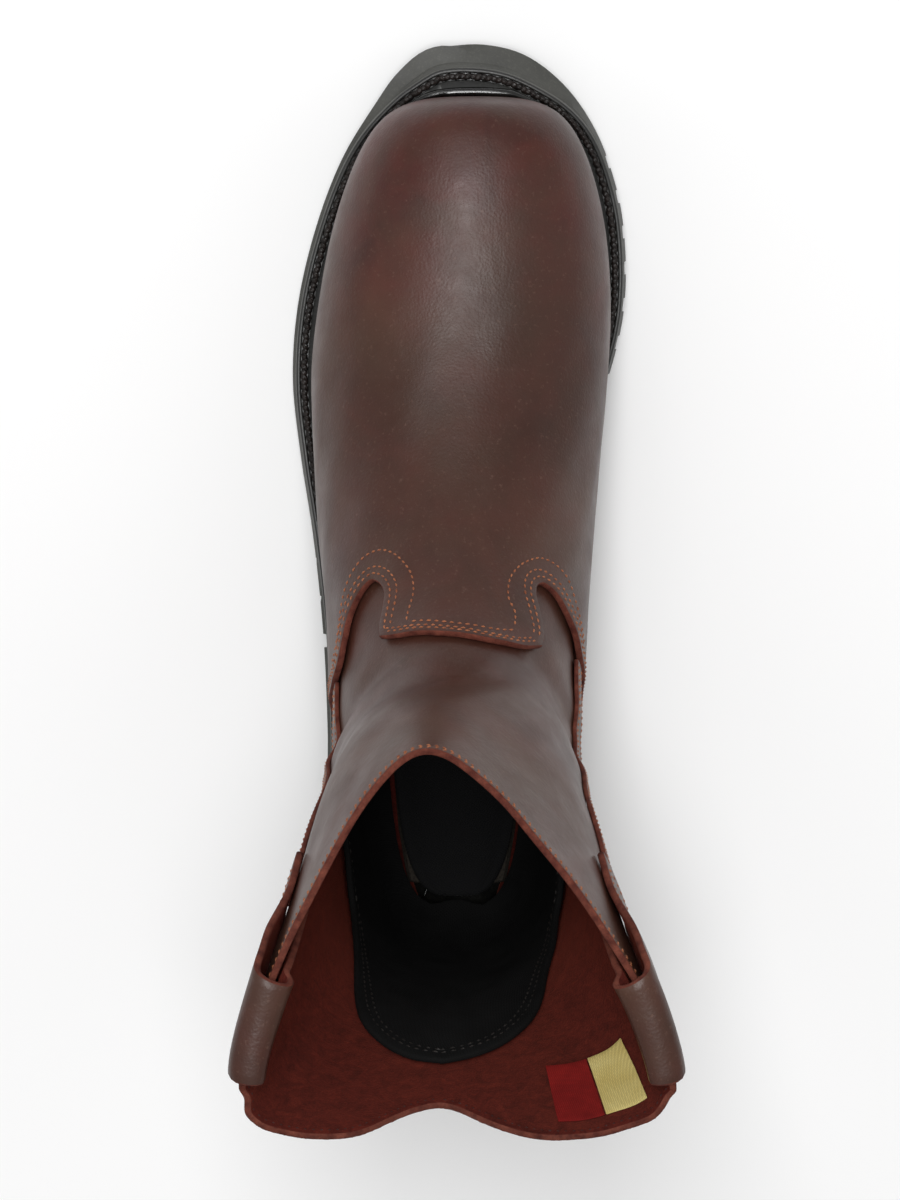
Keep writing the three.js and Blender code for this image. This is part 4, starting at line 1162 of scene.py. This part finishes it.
counter_t = np.linspace(0.31, 0.69, 260)
counter_line = np.stack([counter_t, counter_top(counter_t)], -1)
counter_rows = [
    surface_row(beside(counter_line, distance), OVER, lean=-0.12, start=start, **LOCK)
    for distance, start in ((-2.1, 0.5), (-4.3, 0.25))
]
seam("counter_stitching", counter_rows)

STRIP_ROW_OUT = 0.0075

strip_rows = []
for sign, low in ((1, 11.2), (-1, 10.8)):
    s = np.linspace(low, STRIP_TOP - 0.1, 200)
    for shift in (-STRIP_ROW_OUT, STRIP_ROW_OUT):
        row = np.stack([np.full_like(s, sign * SEAM_SIDE + shift), s], -1)
        strip_rows.append(surface_row(row, STRIP_OUT + PROUD, **LOCK))
seam("strip_stitching", strip_rows)

lining_t = np.linspace(0.02, 0.98, 500)
lining_line = np.stack([lining_t, lining_top(lining_t)], -1)
lining_rows = []
for distance in (-3.4, -6.0):
    row = beside(lining_line, distance)
    depth = lining_inner(row[:, 1], row[:, 0]) - PROUD
    lining_rows.append(surface_row(row, depth, facing=-1, pitch=3.0, length=2.3, width=0.7, height=0.4))
seam("lining_stitching", lining_rows, BLACK_THREAD)

# ---------------------------------------------------------------- the footbed


FOOTBED_TOE, FOOTBED_HEEL = 2.55, 12.15
FOOTBED_WIDE = 0.93


def padded_footbed():
    """The loose footbed, a foam sheet under cloth, crowned and rounded at its edge."""
    columns, steps = 33, 150
    s = np.linspace(FOOTBED_TOE, FOOTBED_HEEL, steps)
    ends = np.sqrt(1 - np.abs(np.linspace(-1, 1, steps)) ** 14)
    middle = -4 * GAP - BOARD - FOOTBED / 2 - 0.1
    below, above = [], []
    for u in np.sin(np.linspace(-np.pi / 2, np.pi / 2, columns)):
        crown = np.sqrt(1 - abs(u) ** 5)
        swell = FOOTBED / 2 * crown * (0.25 + 0.75 * ends)
        t = 0.5 + u * FOOTBED_WIDE * seat_half(s) * (0.5 + 0.5 * ends)
        cup = 1.1 * smooth(abs(u), 0.55, 1.0) * smooth(s, 8.5, 11)
        below.append(form(s, t) + form_normal(s, t) * (middle + swell)[:, None])
        above.append(form(s, t) + form_normal(s, t) * (middle - swell - cup * crown)[:, None])
    points = np.array(above + below[::-1][1:-1])
    lines = len(points)
    faces = tube_faces(lines, steps)
    for end in (0, steps - 1):
        for a in range(columns - 1):
            quad = [line % lines * steps + end for line in (a, a + 1, -a - 1, -a)]
            faces.append(list(dict.fromkeys(quad)))
    faces = [face for face in faces if len(face) > 2]
    return make_object("padded_footbed", points.reshape(-1, 3), faces, [FOOTBED_CLOTH])


footbed = padded_footbed()
piece(footbed, "footbed_cloth", "footbed", body="loose_footbed")

# ---------------------------------------------------------------- the sole

OUTLINE = [
    [-5, -0.5], [11, 1.2], [21, 9], [29, 20], [40, 38], [49, 61], [55.5, 88], [57.4, 114],
    [54.8, 140], [50.5, 168], [47, 200], [45.5, 232], [45, 262], [39, 292], [24, 309],
    [4, 313], [-16, 309], [-31, 292], [-36, 262], [-35, 230], [-34, 200], [-36, 168],
    [-41, 142], [-50, 117], [-56.3, 90], [-56, 62], [-52, 43.5], [-45.5, 27.5], [-35, 13], [-21, 2.8],
]
STATIONS = 260
SOLE_LINE = np.array([
    [-10, 22], [10, 20.4], [25, 18.6], [45, 15.3], [65, 14.3], [100, 14], [130, 15.2], [155, 18],
    [180, 21.5], [207, 25.8], [227, 28.4], [247, 30.2], [268, 31.3], [320, 31.8],
])
TREAD_LINE = np.array([
    [-10, 10.5], [5, 8], [25, 4.2], [45, 1.5], [70, 0], [130, 0], [150, 0.9], [175, 5], [200, 11.8],
    [218, 16.9], [320, 16.9],
])


def closed_outline():
    wrapped = OUTLINE[-3:] + OUTLINE + OUTLINE[:4]
    fine = curve_through(wrapped, 0.5)
    first = np.linalg.norm(fine - OUTLINE[0], axis=1)
    starts = np.where(first < 1e-6)[0]
    fine = fine[starts[0]:starts[-1] + 1]
    lengths = lengths_along(fine)
    points = at_lengths(fine, lengths, np.linspace(0, lengths[-1], STATIONS, endpoint=False))
    tangent = unit(np.roll(points, -1, 0) - np.roll(points, 1, 0))
    return points, np.stack([-tangent[:, 1], tangent[:, 0]], -1)


EDGE, INWARD = closed_outline()
EDGE_Y = EDGE[:, 1]


def soft_interp(y, table, blur=6.0):
    """The table's line with its corners rounded."""
    shifts = np.linspace(-blur, blur, 9)
    return np.mean([np.interp(np.asarray(y) + d, table[:, 0], table[:, 1]) for d in shifts], axis=0)


def sole_line(y):
    return soft_interp(y, SOLE_LINE)


def tread_line(y):
    return soft_interp(y, TREAD_LINE)


def flare(y):
    return 1.5 + 6.5 * bump(y, 18)


def at_outline(inset, z):
    """Points round the outline at an inset and a height, each a number or one per station."""
    inset = np.broadcast_to(inset, STATIONS)
    flat = EDGE + INWARD * inset[:, None]
    return np.concatenate([flat, np.broadcast_to(z, STATIONS)[:, None]], 1)


def plate(name, levels, material):
    """A solid with the outline's shape from its levels, bottom up, as (inset, height)."""
    points = np.array([at_outline(inset, z) for inset, z in levels])
    faces = ring_faces(len(levels), STATIONS)
    top = (len(levels) - 1) * STATIONS
    for i in range(STATIONS // 2):
        for base in (0, top):
            quad = [base + station % STATIONS for station in (i, i + 1, -i - 1, -i)]
            faces.append(list(dict.fromkeys(quad)))
    faces = [face for face in faces if len(face) > 2]
    return make_object(name, points.reshape(-1, 3), faces, [material], shade=False)


def box_points(width, length, height, x, y, z, turn):
    corners = np.array([[i, j, k] for i in (-0.5, 0.5) for j in (-0.5, 0.5) for k in (-0.5, 0.5)])
    corners = corners * [width, length, height]
    c, s = math.cos(turn), math.sin(turn)
    turned = corners @ np.array([[c, s, 0], [-s, c, 0], [0, 0, 1]])
    faces = [[0, 1, 3, 2], [4, 6, 7, 5], [0, 4, 5, 1], [2, 3, 7, 6], [0, 2, 6, 4], [1, 5, 7, 3]]
    return turned + [x, y, z], faces


def cut_away(thing, boxes, operation="DIFFERENCE"):
    """Takes the boxes out of a solid, and keeps the result as its mesh."""
    points, faces = joined(box_points(*box) for box in boxes)
    tool = make_object("cutting_tool", points, faces, [], shade=False)
    modifier = thing.modifiers.new("cut", "BOOLEAN")
    modifier.operation = operation
    modifier.solver = "EXACT"
    modifier.use_self = True
    modifier.object = tool
    graph = bpy.context.evaluated_depsgraph_get()
    mesh = bpy.data.meshes.new_from_object(thing.evaluated_get(graph))
    thing.modifiers.remove(modifier)
    old = thing.data
    thing.data = mesh
    bpy.data.meshes.remove(old)
    bpy.data.objects.remove(tool, do_unlink=True)
    return thing


def soften(thing, width, angle=32):
    """Rounds the moulded edges of a solid and shades it smoothly between them."""
    shade_smooth(thing.data, 50)
    modifier = thing.modifiers.new("edges", "BEVEL")
    modifier.width = width * MM
    modifier.segments = 2
    modifier.limit_method = "ANGLE"
    modifier.angle_limit = math.radians(angle)
    modifier.harden_normals = True
    return thing


LUG_ROUND = 2.2  # height of the rounding at the lugs' feet
RIM_LOW = 1.3  # depth of the rim's shadow line under the outsole's top
TOE_LUGS_END = 38
CUT_HIGH = 20


def outsole():
    top = sole_line(EDGE_Y) - 2 * GAP - LEATHER - MIDSOLE - GAP
    tread = np.minimum(tread_line(EDGE_Y), top - 2.4)
    slope = flare(EDGE_Y)
    wall = top - RIM_LOW - (tread + LUG_ROUND)
    smooth_side = smooth(EDGE[:, 0], -8, 8)
    set_in = 0.9 * smooth_side
    widest = tread + LUG_ROUND + np.maximum(wall * 0.45, (LUG_DEPTH - 1.6) * smooth_side)
    levels = [
        (1.6 + set_in, tread), (0.9 + set_in, tread + 0.5), (set_in, tread + 2.0),
        (slope * 0.35 * (1 - smooth_side), np.minimum(widest, top - 1.9)),
        (slope * 0.72, top - 1.5), (slope * 0.72 + 0.45, top - RIM_LOW), (slope * 0.72 + 0.45, top - 0.9),
        (slope * 0.8, top - 0.7), (slope, top),
    ]
    body = plate("outsole_rubber", levels, TREAD)
    tools = []
    for step, y in enumerate(np.arange(17, 205, LUG_PITCH)):
        z = float(tread_line(y)) + LUG_DEPTH - CUT_HIGH / 2
        for side in (1, -1):
            if y < TOE_LUGS_END:
                tools.append((y * 0.8, GROOVE, CUT_HIGH, side * (6 + y * 0.5), y + 2, z, 0))
            else:
                tools.append((46, GROOVE, CUT_HIGH, side * 38, y, z, -GROOVE_TURN * side))
        tools.append((7, LUG_PITCH + 1, CUT_HIGH, (step % 2) * 6 - 4, y, z, 0))
        for x, turn in ((-30, GROOVE_TURN), (28, -GROOVE_TURN)):
            tools.append((22, 0.9, CUT_HIGH, x, y + LUG_PITCH / 2, z - 2.4, turn))
    return soften(cut_away(body, tools), 0.55)


def heel_part(name, bottom, top, inset, tools):
    body = plate(name, [(inset, bottom), (inset * 0.6, top)], TREAD)
    cut_away(body, [(200, 120, 60, 0, HEEL_BREAST + 60, 0, 0)], "INTERSECT")
    return soften(cut_away(body, tools), 0.5)


def midsole():
    top = sole_line(EDGE_Y) - 2 * GAP - LEATHER
    low = top - MIDSOLE
    edge = flare(EDGE_Y) - 0.3
    levels = [
        (edge + 0.5, low), (edge + 0.12, low + 0.15), (edge, low + 0.5), (edge, low + 1.2),
        (edge + 0.3, low + 1.45), (edge + 0.3, low + 1.75), (edge, low + 2.0), (edge, top - 0.5),
        (edge + 0.15, top - 0.15), (edge + 0.6, top),
    ]
    body = plate("midsole_rubber_rim", levels, RIM)
    shade_smooth(body.data, 45)
    return body


piece(outsole(), "tread_rubber", "outsole")
nail_holes = [(NAIL_HOLE, NAIL_HOLE, 30, x, y, LIFT_TOP + 6, 0) for x, y in NAILS]
block = heel_part("heel_block_rubber", LIFT_TOP + GAP, HEEL_TOP, 1.0, nail_holes)
piece(block, "tread_rubber", "heel_block")
heel_grooves = [
    (30, GROOVE, 2 * LUG_DEPTH, x, y, 0, turn)
    for y in np.arange(HEEL_BREAST + 14, 300, LUG_PITCH + 3)
    for x, turn in ((45, -GROOVE_TURN), (-36, GROOVE_TURN))
]
lift = heel_part("heel_lift_rubber", 0, LIFT_TOP, 1.4, heel_grooves)
piece(lift, "tread_rubber", "heel_lift")
piece(midsole(), "midsole_rubber", "midsole")

# ---------------------------------------------------------------- the welt


# Heights over the sole line: at the bead's top, and down the welt's inner face to its foot.
BEAD_AT = 3.4
INNER_AT = (1.0, -0.7, -2.4)
WELT_FOOT = -2.35


def upper_contact():
    """How far in from the outline the leather stands, at some heights over the sole line."""
    s = rings_between(POLE, 13.6, 180)
    t = np.linspace(0, 1, 200, endpoint=False)
    skin_points = on_form(s[:, None], t[None, :], np.full((len(s), len(t)), COVER_OUT + 0.1))
    faces = ring_faces(len(s), len(t))
    tree = BVHTree.FromPolygons([Vector(p) for p in skin_points.reshape(-1, 3)], faces)
    start = 25.0
    found = {}
    for height in (BEAD_AT, *INNER_AT):
        insets = []
        for (x, y), (nx, ny), level in zip(EDGE, INWARD, sole_line(EDGE_Y)):
            origin = Vector((x - nx * start, y - ny * start, level + height))
            hit = tree.ray_cast(origin, Vector((nx, ny, 0)), 80.0)
            insets.append(hit[3] - start if hit[0] is not None else 30.0)
        insets = np.array(insets)
        found[height] = np.mean([np.roll(insets, k) for k in (-2, -1, 0, 1, 2)], axis=0)
    return found


CONTACT = upper_contact()
GROOVE_IN, GROOVE_OUT = 4.1, 1.5
BEAD_ANGLES = np.radians([205, 180, 155, 130, 105, 80, 55, 30, 10])


def welt():
    edge = flare(EDGE_Y)
    level = sole_line(EDGE_Y)
    near = CONTACT[BEAD_AT]
    bead_from = np.maximum(near - 3.3, edge + GROOVE_IN + 0.25)
    radius = np.clip((near - bead_from) / 2, 0.75, 1.65)
    profile = [
        (edge, WELT_FOOT), (edge, 0.5), (edge + 0.2, 0.9), (edge + 0.6, 1.1), (edge + GROOVE_OUT - 0.2, 1.1),
        (edge + GROOVE_OUT, 0.9), (edge + GROOVE_OUT + 0.1, 0.2), (edge + GROOVE_IN - 0.1, 0.2),
        (edge + GROOVE_IN, 0.8), (edge + GROOVE_IN + 0.12, 1.0), (bead_from - 0.05, 1.0),
    ]
    # what each face between two points of the profile is made of: 1 is the polished bead
    kinds = [0] * (len(profile) - 1) + [1] * (1 + len(BEAD_ANGLES)) + [0] * len(INNER_AT)
    for turn in BEAD_ANGLES:
        profile.append((bead_from + radius * (1 + math.cos(turn)), 2.0 + radius * math.sin(turn)))
    for height in INNER_AT:
        inset = np.maximum(CONTACT[height] - 0.12, bead_from + radius * 1.6)
        profile.append((inset, max(height, WELT_FOOT)))
    rings = np.array([at_outline(inset, level + height) for inset, height in profile])
    faces = ring_faces(len(rings), STATIONS, closed=True)
    marks = np.repeat(kinds, STATIONS)
    body = make_object("storm_welt_rubber", rings.reshape(-1, 3), faces, [WELT, BEAD], marks)
    body.data.set_sharp_from_angle(angle=math.radians(60))
    return body


piece(welt(), "welt_rubber", "storm_welt")
edge_path = at_outline(flare(EDGE_Y) + (GROOVE_IN + GROOVE_OUT) / 2, sole_line(EDGE_Y) + 0.95)
edge_path = np.vstack([edge_path, edge_path[:1]])
up_normals = np.tile([0.0, 0.0, 1.0], (len(edge_path), 1))
heavy = dict(pitch=3.5, length=3.6, width=2.2, height=1.0, sink=0.1)
welt_rows = [
    stitches(edge_path, up_normals, lean=lean, start=start, **heavy)
    for lean, start in ((0.42, 0.5), (-0.25, 0.0))
]
welt_seam = stitch_piece("welt_stitching", welt_rows, WELT_THREAD)
piece(welt_seam, "outseam_thread", "outseam_thread")

# ---------------------------------------------------------------- CAD pieces that stay

CARRIED = {
    "insole_board": BOARD_LOOK, "cork_filler": CORK, "steel_shank": STEEL, "steel_toe_cap": STEEL,
    "heel_stiffener": FIBRE, **{f"heel_nail_{i}": STEEL for i in range(1, 7)},
}
for name, material in CARRIED.items():
    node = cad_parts[name]
    if not node.data.materials:
        node.data.materials.append(material)
    for slot in node.material_slots:
        slot.link = "OBJECT"
        slot.material = material

# ---------------------------------------------------------------- floor and the scene's bounds


def make_floor():
    mesh = bpy.data.meshes.new("floor")
    half = 4.0
    corners = [(-half, -half, 0), (half, -half, 0), (half, half, 0), (-half, half, 0)]
    mesh.from_pydata(corners, [], [(0, 1, 2, 3)])
    look = Look("pale_floor", Specular_IOR_Level=0.1)
    look.colour(look.ramp(look.noise(3, 2, 0.5), (0.3, 0.93), (0.7, 0.95)))
    look.roughness(look.noise(8, 2, 0.5), 0.85, 0.95)
    mesh.materials.append(look.material)
    floor = bpy.data.objects.new("floor", mesh)
    bpy.context.scene.collection.objects.link(floor)
    floor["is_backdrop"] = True


make_floor()
low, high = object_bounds()
